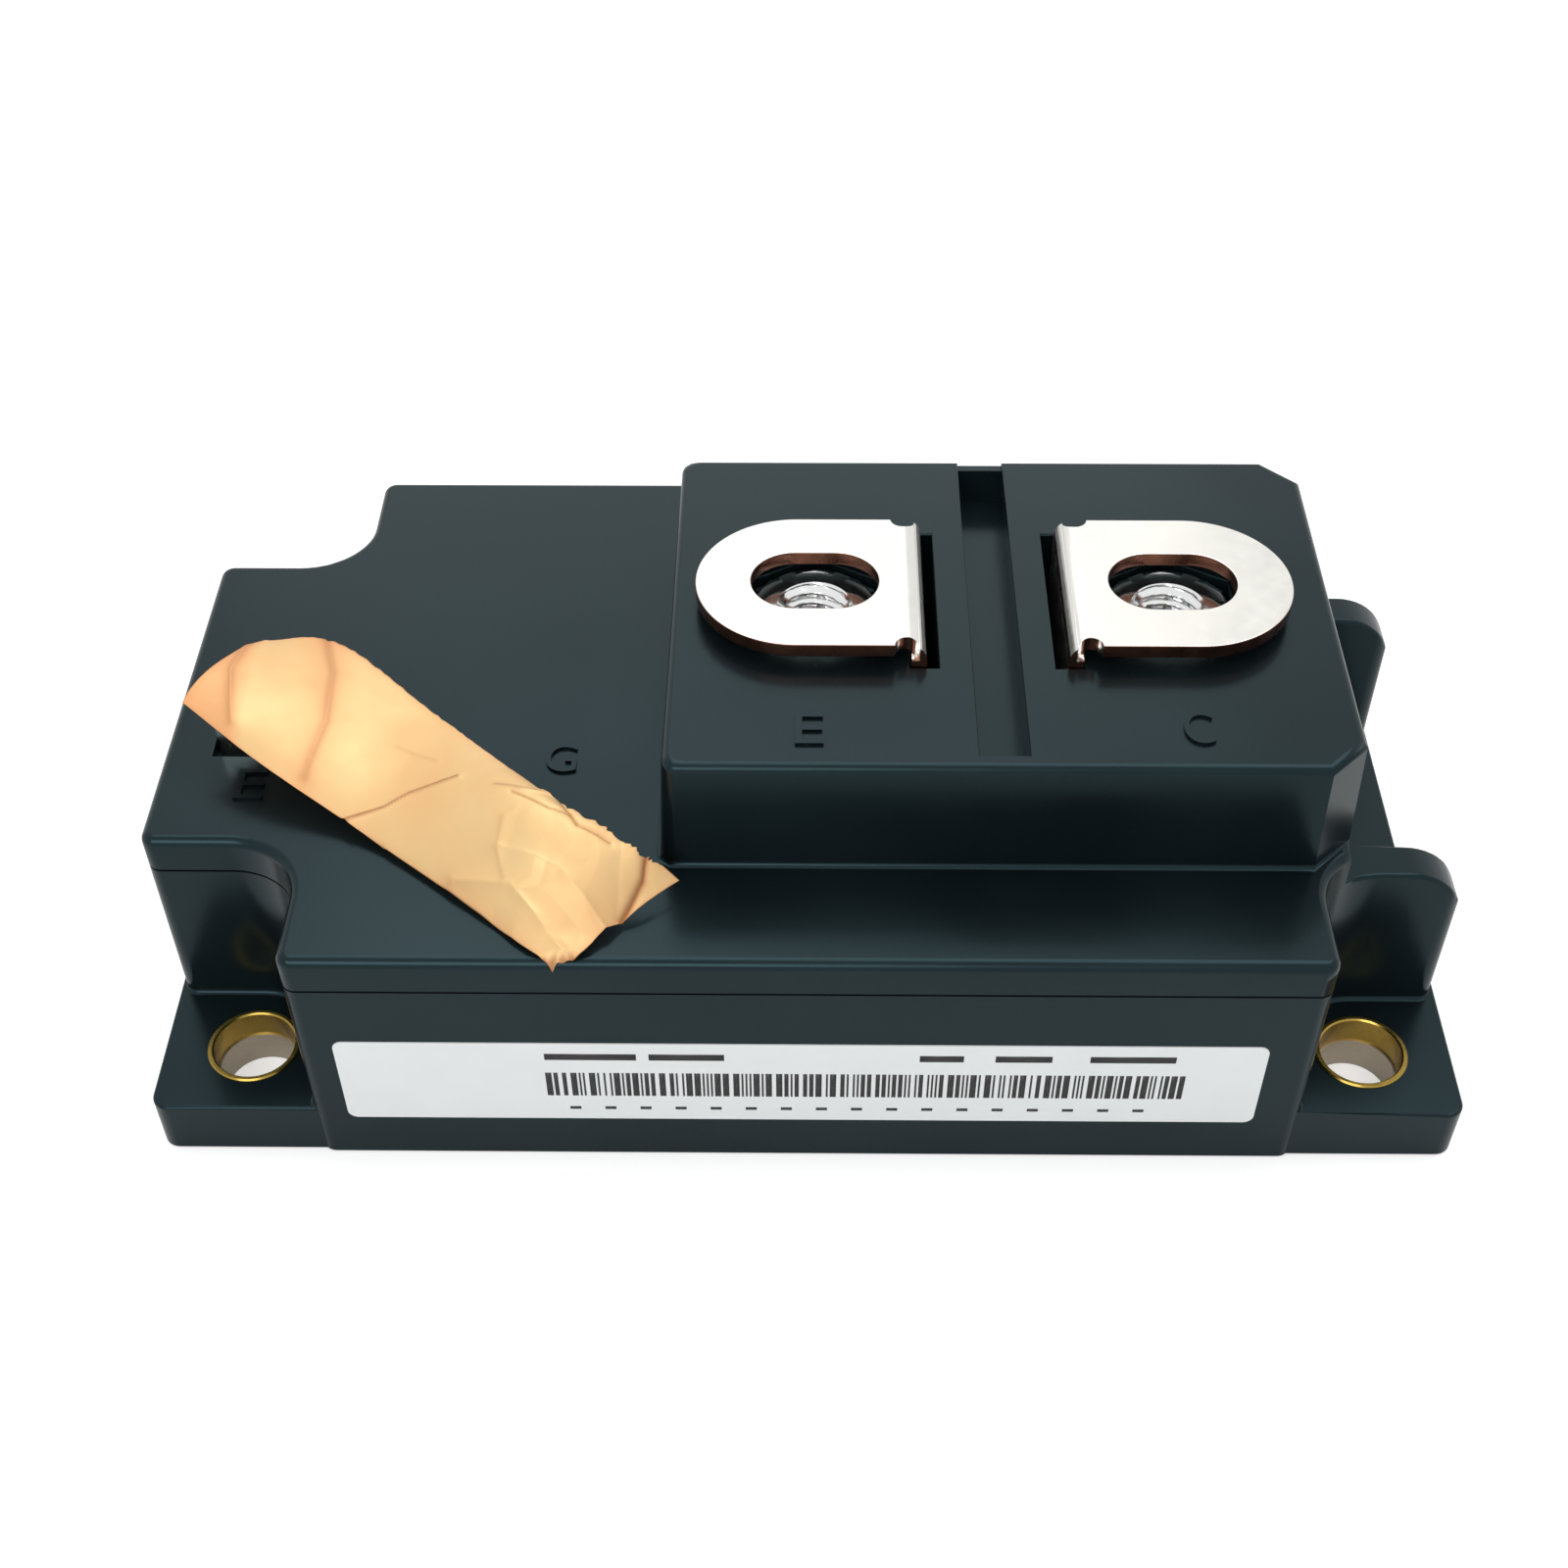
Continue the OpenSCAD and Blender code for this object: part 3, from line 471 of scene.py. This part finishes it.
class MODULE_OT_terminals(bpy.types.Operator):
    """Main terminals with rounded punched edges and copper showing on the cut faces"""
    bl_idname = "module.terminals"
    bl_label = "Main terminals"

    def execute(self, context):
        s = context.scene.module_metal
        for node in ("emitter_terminal", "collector_terminal"):
            low, high = node_box(node)
            bm = merged_copy(node)
            tab_foot = high[2] - 1.6
            leg = high[0] if node == "emitter_terminal" else low[0]

            def cut(face):
                c = face.calc_center_median() / MM
                if abs(face.normal.y) > 0.75:
                    return True
                outer = c.x < 0 if node == "emitter_terminal" else c.x > 30
                hole = abs(c.y) < 3.7 and c.z > tab_foot and abs(face.normal.z) < 0.3
                return c.z > tab_foot and abs(face.normal.z) < 0.3 and (outer or hole)

            for face in [f for f in bm.faces if cut(f)]:
                face.material_index = 1

            def radius_of(middle, fold, ups, edge):
                near_relief = abs(middle.x - leg) < 3.4 and abs(middle.y) > 6.9
                return s.sheet_round if fold > 50 and not near_relief else 0

            mark_edges(bm, radius_of)
            edge = material_once("cut_edge", metal_material, tuple(s.cut_edge), 0.28, dark=0.7)
            finish_copy(bm, node + "_sheet", node, [nickel(), edge], segments=2)
        return {"FINISHED"}


class MODULE_OT_nuts(bpy.types.Operator):
    """Captive nuts with a chamfered hexagon and a real thread"""
    bl_idname = "module.nuts"
    bl_label = "Nuts"

    def execute(self, context):
        s = context.scene.module_metal
        zinc = material_once("zinc_nut", metal_material, tuple(s.zinc), 0.12, dark=0.85, bump=0.02)
        for node in ("emitter_nut", "collector_nut"):
            low, high = node_box(node)
            size = high - low
            mesh = nut_mesh(node + "_threaded", (low + high) / 2, size[2], size[0] / 2, s.thread_pitch)
            obj = add_object(node + "_threaded", mesh, [zinc])
            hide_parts(node)
        return {"FINISHED"}


def nut_mesh(name, centre, height, flat_reach, pitch, around=144, minor=2.5, major=3.02):
    """Hexagon nut as one closed grid.

    Columns go round by angle. Rows go along the section: thread, top, outside and underside.
    The thread's radius is a triangle wave of height less angle times pitch. The outside is the
    nearer of a hexagon and a 30 degree cone at each end.
    """
    angle = np.linspace(0, 2 * np.pi, around, endpoint=False)
    z_thread = np.linspace(0, height, 61)
    turn = (z_thread[:, None] / pitch - angle[None, :] / (2 * np.pi)) % 1.0
    wave = 1 - np.abs(2 * turn - 1)
    wave = np.clip((wave - 0.12) / 0.76, 0, 1)
    end = np.minimum(z_thread, height - z_thread)[:, None]
    lead = np.maximum(0, 3.1 - end * 1.0)
    bore = np.maximum(minor + (major - minor) * wave, lead)
    flat = flat_reach / np.cos((angle + np.pi / 6) % (np.pi / 3) - np.pi / 6)
    corner = flat_reach / math.cos(math.pi / 6)
    z_end = np.array([0.0, 0.25, 0.5])
    z_side = np.concatenate([z_end, np.linspace(0.7, height - 0.7, 5), height - z_end[::-1]])[::-1]
    slope = np.minimum(z_side, height - z_side)[:, None]
    side = np.minimum(flat[None, :], flat_reach * 0.955 + slope / math.tan(math.radians(30)))
    top = (bore[-1:] + side[:1]) * 0.5
    underside = (bore[:1] + side[-1:]) * 0.5
    radius = np.concatenate([bore, top, side, underside])
    heights = np.concatenate([z_thread, [height], z_side, [0.0]])
    x = centre[0] + radius * np.cos(angle)
    y = centre[1] + radius * np.sin(angle)
    z = centre[2] - height / 2 + np.broadcast_to(heights[:, None], radius.shape)
    points = np.stack([x, y, z], 2).reshape(-1, 3)
    faces = grid_faces(len(heights), around, True, True)[:, ::-1]
    return mesh_from_arrays(name, points, faces, 40)


class MODULE_OT_small_metal(bpy.types.Operator):
    """Base plate, bushes and control tabs"""
    bl_idname = "module.small_metal"
    bl_label = "Base plate, bushes and control tabs"

    def execute(self, context):
        s = context.scene.module_metal
        brushed = {"grain": (0.04, 1, 1), "grain_scale": 2500, "dark": 0.85}
        plate = material_once("nickel_plate", metal_material, tuple(s.plate), 0.42, **brushed)
        paint_node("base_plate", plate)
        brass = material_once("brass_bush", metal_material, tuple(s.brass), 0.24, dark=0.55)
        for node in ("bush_front_left", "bush_front_right", "bush_rear_left", "bush_rear_right"):
            paint_node(node, brass)
        for node in ("gate_terminal", "aux_emitter_terminal"):
            paint_node(node, nickel())
        return {"FINISHED"}


class MODULE_OT_circuit(bpy.types.Operator):
    """Finishes for the power circuit inside"""
    bl_idname = "module.circuit"
    bl_label = "Power circuit"

    def execute(self, context):
        looks = {
            "copper": copper(),
            "white_ceramic": material_once("white_ceramic", plain_material, (0.85, 0.84, 0.8, 1), 0.6),
            "silicon": material_once("silicon", metal_material, (0.45, 0.47, 0.5, 1), 0.35),
            "aluminium_wire": material_once("aluminium_wire", metal_material, (0.85, 0.86, 0.87, 1), 0.25),
            "resistor": material_once("resistor", plain_material, (0.03, 0.03, 0.035, 1), 0.5),
        }
        for row in frame["record"]["subparts"]:
            if row["material_slot"] in looks:
                paint_node(row["node"], looks[row["material_slot"]])
        gel = material_once("gel", plain_material, (0.8, 0.84, 0.86, 1), 0.25)
        shader = gel.node_tree.nodes["Principled BSDF"]
        shader.inputs["Transmission Weight"].default_value = 0.8
        paint_node("silicone_gel", gel)
        return {"FINISHED"}


# ---------- Marks and label ----------


def letter_mesh(name, letter, height, width, place, relief):
    """Mesh of one letter scaled to a height and width, centred on place, so half its depth stands out."""
    curve = bpy.data.curves.new(name, "FONT")
    curve.body = letter
    curve.extrude = 0.5
    curve.resolution_u = 6
    temp = bpy.data.objects.new(name + "_text", curve)
    bpy.context.scene.collection.objects.link(temp)
    bpy.context.view_layer.update()
    mesh = bpy.data.meshes.new_from_object(temp.evaluated_get(bpy.context.evaluated_depsgraph_get()))
    bpy.data.objects.remove(temp)
    bpy.data.curves.remove(curve)
    points = np.empty(len(mesh.vertices) * 3)
    mesh.vertices.foreach_get("co", points)
    points = points.reshape(-1, 3)
    low, high = points.min(0), points.max(0)
    points = (points - (low + high) / 2) / (high - low) * (width, height, 2 * relief)
    mesh.vertices.foreach_set("co", ((points + place) * MM).ravel())
    mesh.update()
    mesh.name = name
    return mesh


class MODULE_OT_marks(bpy.types.Operator):
    """Raised letters beside the emitter, collector and gate terminals"""
    bl_idname = "module.marks"
    bl_label = "Terminal marks"

    def execute(self, context):
        relief = context.scene.module_trim.mark_height
        for name, letter, height, width, x, y, z in (
            ("mark_emitter", "E", 3.5, 2.2, 0.1, -15.8, BLOCK_TOP),
            ("mark_collector", "C", 3.7, 2.3, 30.0, -15.5, BLOCK_TOP),
            ("mark_aux_emitter", "E", 3.5, 2.4, -45.6, -11.5, DECK),
            ("mark_gate", "G", 3.4, 2.6, -20.4, -8.2, DECK),
        ):
            mesh = letter_mesh(name, letter, height, width, (x, y, z), relief)
            add_object(name, mesh, [plastic()])
        return {"FINISHED"}


def label_boxes(low, high):
    """Bars and dashes that stand for the print, as rows of left, right, bottom and top."""
    rng = np.random.default_rng(7)
    boxes = []
    bar_low, bar_high = low[2] + 3.0, low[2] + 5.9
    thin, medium, thick = 0.16, 0.34, 0.5
    x = low[0] + 16.6
    end = high[0] - 6.2
    while x < end:
        width = rng.choice([thin, thin, medium, thick])
        boxes.append((x, min(x + width, end), bar_low, bar_high))
        x += width + rng.choice([thin, thin, medium])
    dash_count, dash_pitch, dash_length = 17, 2.86, 0.9
    for k in range(dash_count):
        x0 = low[0] + 18.3 + k * dash_pitch
        boxes.append((x0, x0 + dash_length, low[2] + 1.25, low[2] + 1.6))
    for x0, x1 in ((16.7, 24.0), (25.0, 31.0), (46.5, 50.0), (52.5, 57.0), (60.0, 66.8)):
        boxes.append((low[0] + x0, low[0] + x1, high[2] - 2.0, high[2] - 1.25))
    return np.array(boxes)


class MODULE_OT_label(bpy.types.Operator):
    """Label with plain bars and dashes in place of print"""
    bl_idname = "module.label"
    bl_label = "Label"

    def execute(self, context):
        s = context.scene.module_trim
        paper = {"variation": 0.97, "scale": 200, "bump": 0.02}
        paint_node("label", material_once("label_paper", plain_material, tuple(s.label), 0.35, **paper))
        ink = material_once("label_ink", plain_material, (0.012, 0.012, 0.012, 1), 0.4)
        low, high = node_box("label")
        corners = label_boxes(low, high)[:, [[0, 2], [1, 2], [1, 3], [0, 3]]]
        y = np.full(corners.shape[:2] + (1,), low[1] - 0.01)
        points = np.concatenate([corners[..., :1], y, corners[..., 1:]], 2).reshape(-1, 3)
        mesh = mesh_from_arrays("label_bars", points, np.arange(len(points)).reshape(-1, 4))
        obj = add_object("label_bars", mesh, [ink])
        solid = obj.modifiers.new("Ink", "SOLIDIFY")
        solid.thickness = 0.012 * MM
        solid.offset = -1
        return {"FINISHED"}


# ---------- Shorting foil ----------

# Front edge, ridge and rear edge of the foil: x, y and height above the deck at six stations
FOIL_FRONT = np.array([
    (-50.9, -7.5, 5.5), (-44.5, -12.3, 3.7), (-35.2, -18.1, 1.0),
    (-26.0, -25.6, 0.5), (-22.0, -29.2, 0.2), (-19.2, -31.4, 0.2),
])
FOIL_RIDGE = np.array([
    (-48.9, -3.9, 6.3), (-43.0, -8.0, 5.3), (-33.5, -14.0, 3.2),
    (-22.6, -21.2, 5.75), (-18.0, -25.9, 3.6), (-14.6, -27.6, 0.8),
])
FOIL_REAR = np.array([
    (-45.6, 0.6, 5.3), (-39.5, 0.8, 5.0), (-29.9, -8.0, 4.4),
    (-20.8, -18.1, 6.0), (-13.8, -22.3, 4.6), (-9.9, -23.4, 1.1),
])

# Folds pressed into the foil: line on the deck's plan, height, half width and how much painted shade darkens
# it
FOIL_FOLDS = (
    (((-46.4, 1.2), (-47.4, -4.2), (-46.6, -9.5)), 0.28, 0.55, 0.25),
    (((-40.6, 1.2), (-39.4, -3.0), (-39.2, -8.5), (-40.4, -13.8)), -0.2, 0.60, 0.35),
    (((-37.0, -17.0), (-33.6, -16.6), (-31.6, -15.9), (-27.5, -15.6)), 0.30, 0.16, 0.75),
    (((-35.0, -18.6), (-33.6, -19.4)), -0.25, 0.18, 0.6),
    (((-23.4, -20.9), (-23.8, -23.0), (-23.2, -25.0)), 0.16, 0.35, 0.15),
    (((-24.4, -17.6), (-22.0, -18.6), (-20.3, -18.9)), 0.14, 0.14, 0.35),
    (((-22.9, -18.7), (-19.9, -20.6), (-18.2, -20.9)), -0.14, 0.14, 0.4),
    (((-33.0, -11.0), (-29.5, -13.2)), 0.10, 0.20, 0.1),
    (((-27.5, -23.6), (-22.6, -25.6), (-18.4, -30.6)), 0.42, 0.55, 0.0),
    (((-24.0, -22.8), (-18.9, -25.2), (-14.8, -28.6)), 0.35, 0.60, 0.0),
    (((-12.3, -22.4), (-12.6, -24.4), (-14.2, -27.2)), -0.5, 0.40, 0.8),
    (((-20.5, -18.6), (-17.4, -20.0), (-14.9, -21.4)), 0.25, 0.18, 0.3),
    (((-19.3, -19.2), (-17.6, -21.9), (-15.1, -22.8)), -0.25, 0.16, 0.35),
)


def line_distance(points, line):
    """Distance from each point on the plan to a broken line: the least of those to its pieces."""
    line = np.array(line)
    nearest = np.full(len(points), np.inf)
    for start, end in zip(line[:-1], line[1:]):
        along = end - start
        share = np.clip((points - start) @ along / (along @ along), 0, 1)
        nearest = np.minimum(nearest, np.hypot(*(points - start - share[:, None] * along).T))
    return nearest


def smooth_line(stations, t):
    """Catmull-Rom curve through stations at parameter t, as whole arrays."""
    n = len(stations)
    ends = np.concatenate([2 * stations[:1] - stations[1:2], stations, 2 * stations[-1:] - stations[-2:-1]])
    k = np.clip(t.astype(int), 0, n - 2)
    f = (t - k)[:, None]
    a, b, c, d = ends[k], ends[k + 1], ends[k + 2], ends[k + 3]
    return 0.5 * (2 * b + (c - a) * f + (2 * a - 5 * b + 4 * c - d) * f**2 + (3 * b - a - 3 * c + d) * f**3)


def creases(x, y, seeds, depth):
    """Folded relief over scattered points, with creases that run half-way between neighbours.

    The height is how much farther the second nearest point lies than the nearest, up to 3 mm.
    """
    d = np.sqrt((x[:, None] - seeds[:, 0]) ** 2 + (y[:, None] - seeds[:, 1]) ** 2)
    d.sort(axis=1)
    return depth * np.minimum(d[:, 1] - d[:, 0], 3.0) / 3.0


def foil_sheet(rows, columns, rng):
    """Points of the smooth foil and their shares along (u) and across (v), as flat arrays.

    Across, the sheet is a parabola through front edge, ridge and rear edge: the front times
    (2w - 1)(w - 1), the ridge times 4w(1 - w) and the rear times w(2w - 1). A random tear takes up to
    6 per cent off v, and the right-hand tip is drawn forward near the front edge.
    """
    t = np.linspace(0, len(FOIL_FRONT) - 1, rows)
    front, ridge, rear = (smooth_line(line, t) for line in (FOIL_FRONT, FOIL_RIDGE, FOIL_REAR))
    u = t / t[-1]
    ragged = np.interp(t, np.linspace(0, 5, 120), rng.uniform(0, 1, 120))
    torn = ragged * np.interp(u, (0.0, 0.58, 0.64, 0.88, 0.93), (0.12, 0.12, 1, 1, 0))
    v = np.linspace(0, 1, columns)[None, :] * (1 - 0.06 * torn[:, None])
    w = v[..., None]
    points = front[:, None] * (2 * w - 1) * (w - 1) + ridge[:, None] * 4 * w * (1 - w)
    points = points + rear[:, None] * w * (2 * w - 1)
    end = np.clip((u - 0.9) / 0.1, 0, 1)[:, None] ** 2
    points[..., 1] -= 0.9 * end * np.exp(-((v - 0.2) / 0.13) ** 2)
    u = np.broadcast_to(u[:, None], v.shape).ravel()
    return points.reshape(-1, 3), u, v.ravel()


class MODULE_OT_foil(bpy.types.Operator):
    """Crumpled copper foil that shorts the control tabs"""
    bl_idname = "module.foil"
    bl_label = "Shorting foil"

    def execute(self, context):
        s = context.scene.module_trim
        rows, columns = 340, 130
        rng = np.random.default_rng(3)
        points, u, v = foil_sheet(rows, columns, rng)
        plan = points[:, :2].copy()

        # Broad and fine creases, stronger towards the loose right-hand end
        coarse = rng.uniform((-52, -33), (-9, 2), (46, 2))
        fine = rng.uniform((-25, -33), (-9, -17), (90, 2))
        loose = np.clip((u - 0.45) * 3, 0.12, 1)
        relief = loose * creases(*plan.T, coarse, 1.0) + 0.6 * loose * creases(*plan.T, fine, 0.5) - 0.2
        points[:, 2] += s.foil_crumple * 0.55 * relief

        # Folds: each height falls off with the distance from its line, and painted shade darkens the colour
        # along it
        dark = np.zeros(len(points))
        for line, height, half, fold_shade in FOIL_FOLDS:
            away = line_distance(plan, line)
            points[:, 2] += height * np.exp(-away / half)
            dark = np.maximum(dark, fold_shade * np.exp(-(away / half / 0.7) ** 2))

        # The tip folds down over the deck's front edge, and its tucked-under part gets painted shade
        front_edge = -30.3
        over = np.clip(front_edge - plan[:, 1], 0, 1.3)
        crumpled = 1 + 0.5 * np.sin(plan[:, 0] * 5.1) * np.sin(plan[:, 0] * 2.3 + 1)
        points[:, 2] = np.maximum(points[:, 2], 0.12) - 0.62 * crumpled * over ** 2
        points[:, 1] = np.maximum(plan[:, 1], front_edge - over * 0.9)
        points[:, 2] += DECK
        dark = np.maximum(dark, 0.85 * np.clip((over - 0.35) / 0.4, 0, 1) * crumpled / 1.5)

        # The tone warms at the left end, beside the long fold and along the edges
        edge = np.minimum(np.minimum(v, 1 - v) * 16, np.minimum(u, 1 - u) * 40)
        long_fold = line_distance(plan, FOIL_FOLDS[1][0])
        warm = 0.75 * np.clip((-45.6 - plan[:, 0]) / 1.2, 0, 1) + 0.6 * np.exp(-(long_fold / 1.6) ** 2)
        warm = np.clip(warm + 0.7 * np.exp(-edge / 0.35), 0, 1)

        mesh = mesh_from_arrays("foil_sheet", points, grid_faces(rows, columns)[:, ::-1], 30)
        # Per-point values for the material: the tone's warmth, and painted shade in the folds and under the
        # tip
        for name, values in (("warmth", warm), ("fold_shade", dark)):
            mesh.attributes.new(name, "FLOAT", "POINT").data.foreach_set("value", values)
        material = material_once("copper_foil", foil_material, tuple(s.foil), tuple(s.foil_warm), 0.48)
        obj = add_object("foil_sheet", mesh, [material])
        solid = obj.modifiers.new("Thickness", "SOLIDIFY")
        solid.thickness = 0.06 * MM
        solid.offset = 0
        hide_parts("shorting_foil")
        return {"FINISHED"}


# ---------- Stage ----------


def white_for_camera(name, colour, glow, mirrored):
    """Pale surface with an added glow for the camera and another, fainter one in reflections."""
    material, nodes, links, shader = new_material(name)
    nodes.remove(shader)
    diffuse = nodes.new("ShaderNodeBsdfDiffuse")
    diffuse.inputs["Color"].default_value = colour
    emission = nodes.new("ShaderNodeEmission")
    path = nodes.new("ShaderNodeLightPath")
    either = nodes.new("ShaderNodeMath")
    either.operation = "MAXIMUM"
    seen = nodes.new("ShaderNodeMath")
    seen.operation = "MULTIPLY"
    seen.inputs[1].default_value = glow
    strength = nodes.new("ShaderNodeMath")
    strength.operation = "MULTIPLY_ADD"
    strength.inputs[1].default_value = mirrored
    add = nodes.new("ShaderNodeAddShader")
    links.new(path.outputs["Is Glossy Ray"], either.inputs[0])
    links.new(path.outputs["Is Transmission Ray"], either.inputs[1])
    links.new(path.outputs["Is Camera Ray"], seen.inputs[0])
    links.new(either.outputs[0], strength.inputs[0])
    links.new(seen.outputs[0], strength.inputs[2])
    links.new(strength.outputs[0], emission.inputs["Strength"])
    links.new(diffuse.outputs[0], add.inputs[0])
    links.new(emission.outputs[0], add.inputs[1])
    links.new(add.outputs[0], nodes["Material Output"].inputs["Surface"])
    return material


def area_lamp(name, place, target, size, power):
    light = bpy.data.lights.new(name, "AREA")
    light.shape = "RECTANGLE"
    light.size, light.size_y = size
    light.energy = power
    obj = bpy.data.objects.new(name, light)
    obj.location = place
    obj.rotation_euler = (Vector(target) - Vector(place)).to_track_quat("-Z", "Y").to_euler()
    bpy.context.scene.collection.objects.link(obj)
    return obj


class MODULE_OT_stage(bpy.types.Operator):
    """Pale floor, soft lamps and the camera"""
    bl_idname = "module.stage"
    bl_label = "Stage"

    def execute(self, context):
        scene = context.scene
        side = 3.0
        points = np.array([(-1, -1), (1, -1), (1, 1), (-1, 1)]) * side / MM
        points = np.column_stack([points, np.full(4, -0.02)])
        mesh = mesh_from_arrays("floor", points, np.array([[0, 1, 2, 3]]))
        mesh.materials.append(white_for_camera("floor_white", (0.80, 0.80, 0.80, 1), 0.5, 0.12))
        floor = bpy.data.objects.new("floor", mesh)
        scene.collection.objects.link(floor)

        world = bpy.data.worlds.new("studio")
        world.use_nodes = True
        scene.world = world
        nodes, links = world.node_tree.nodes, world.node_tree.links
        background = nodes["Background"]
        background.inputs["Color"].default_value = (1, 1, 1, 1)
        path = nodes.new("ShaderNodeLightPath")
        diffuse = nodes.new("ShaderNodeMapRange")
        diffuse.inputs["To Min"].default_value = 1.0
        diffuse.inputs["To Max"].default_value = 0.55
        links.new(path.outputs["Is Diffuse Ray"], diffuse.inputs["Value"])
        links.new(diffuse.outputs["Result"], background.inputs["Strength"])

        area_lamp("overhead", (0.05, 0.15, 0.55), (0, 0, 0), (0.6, 0.4), 1.6)
        area_lamp("front", (-0.15, -0.50, 0.35), (0, 0, 0.01), (0.4, 0.3), 1.3)
        area_lamp("rear", (-0.03, 0.45, 0.40), (-0.01, 0, 0.02), (0.34, 0.24), 0.11)

        camera = bpy.data.cameras.new("camera")
        camera.sensor_width = 36
        camera.lens = 48.24
        camera.shift_y = 0.1
        camera.clip_start = 0.01
        obj = bpy.data.objects.new("camera", camera)
        obj.location = (-0.0001, -0.1371, 0.1415)
        obj.rotation_euler = [math.radians(a) for a in (42.673, 0.225, 0.621)]
        scene.collection.objects.link(obj)
        scene.camera = obj
        scene.view_settings.view_transform = "Standard"
        return {"FINISHED"}


class MODULE_PT_panel(bpy.types.Panel):
    """Lists the pieces of the power module and their settings"""
    bl_label = "Power Module"
    bl_idname = "MODULE_PT_panel"
    bl_space_type = "VIEW_3D"
    bl_region_type = "UI"
    bl_category = "Power Module"

    def draw(self, context):
        for operator in OPERATORS:
            self.layout.operator(operator.bl_idname)
        for settings in ("module_housing", "module_metal", "module_trim"):
            group = getattr(context.scene, settings)
            box = self.layout.box()
            for name in group.bl_rna.properties.keys():
                if name not in ("rna_type", "name"):
                    box.prop(group, name)


SETTINGS = {"module_housing": HousingSettings, "module_metal": MetalSettings, "module_trim": TrimSettings}
OPERATORS = (
    MODULE_OT_stage, MODULE_OT_case, MODULE_OT_lid, MODULE_OT_small_metal, MODULE_OT_terminals,
    MODULE_OT_nuts, MODULE_OT_circuit, MODULE_OT_marks, MODULE_OT_label, MODULE_OT_foil,
)


def register():
    for cls in tuple(SETTINGS.values()) + OPERATORS + (MODULE_PT_panel,):
        bpy.utils.register_class(cls)
    for name, cls in SETTINGS.items():
        setattr(bpy.types.Scene, name, bpy.props.PointerProperty(type=cls))


def unregister():
    for name in SETTINGS:
        delattr(bpy.types.Scene, name)
    for cls in (MODULE_PT_panel,) + OPERATORS[::-1] + tuple(SETTINGS.values())[::-1]:
        bpy.utils.unregister_class(cls)


def main():
    register()
    for operator in OPERATORS:
        group, name = operator.bl_idname.split(".")
        getattr(getattr(bpy.ops, group), name)()


if __name__ == "__main__":
    main()
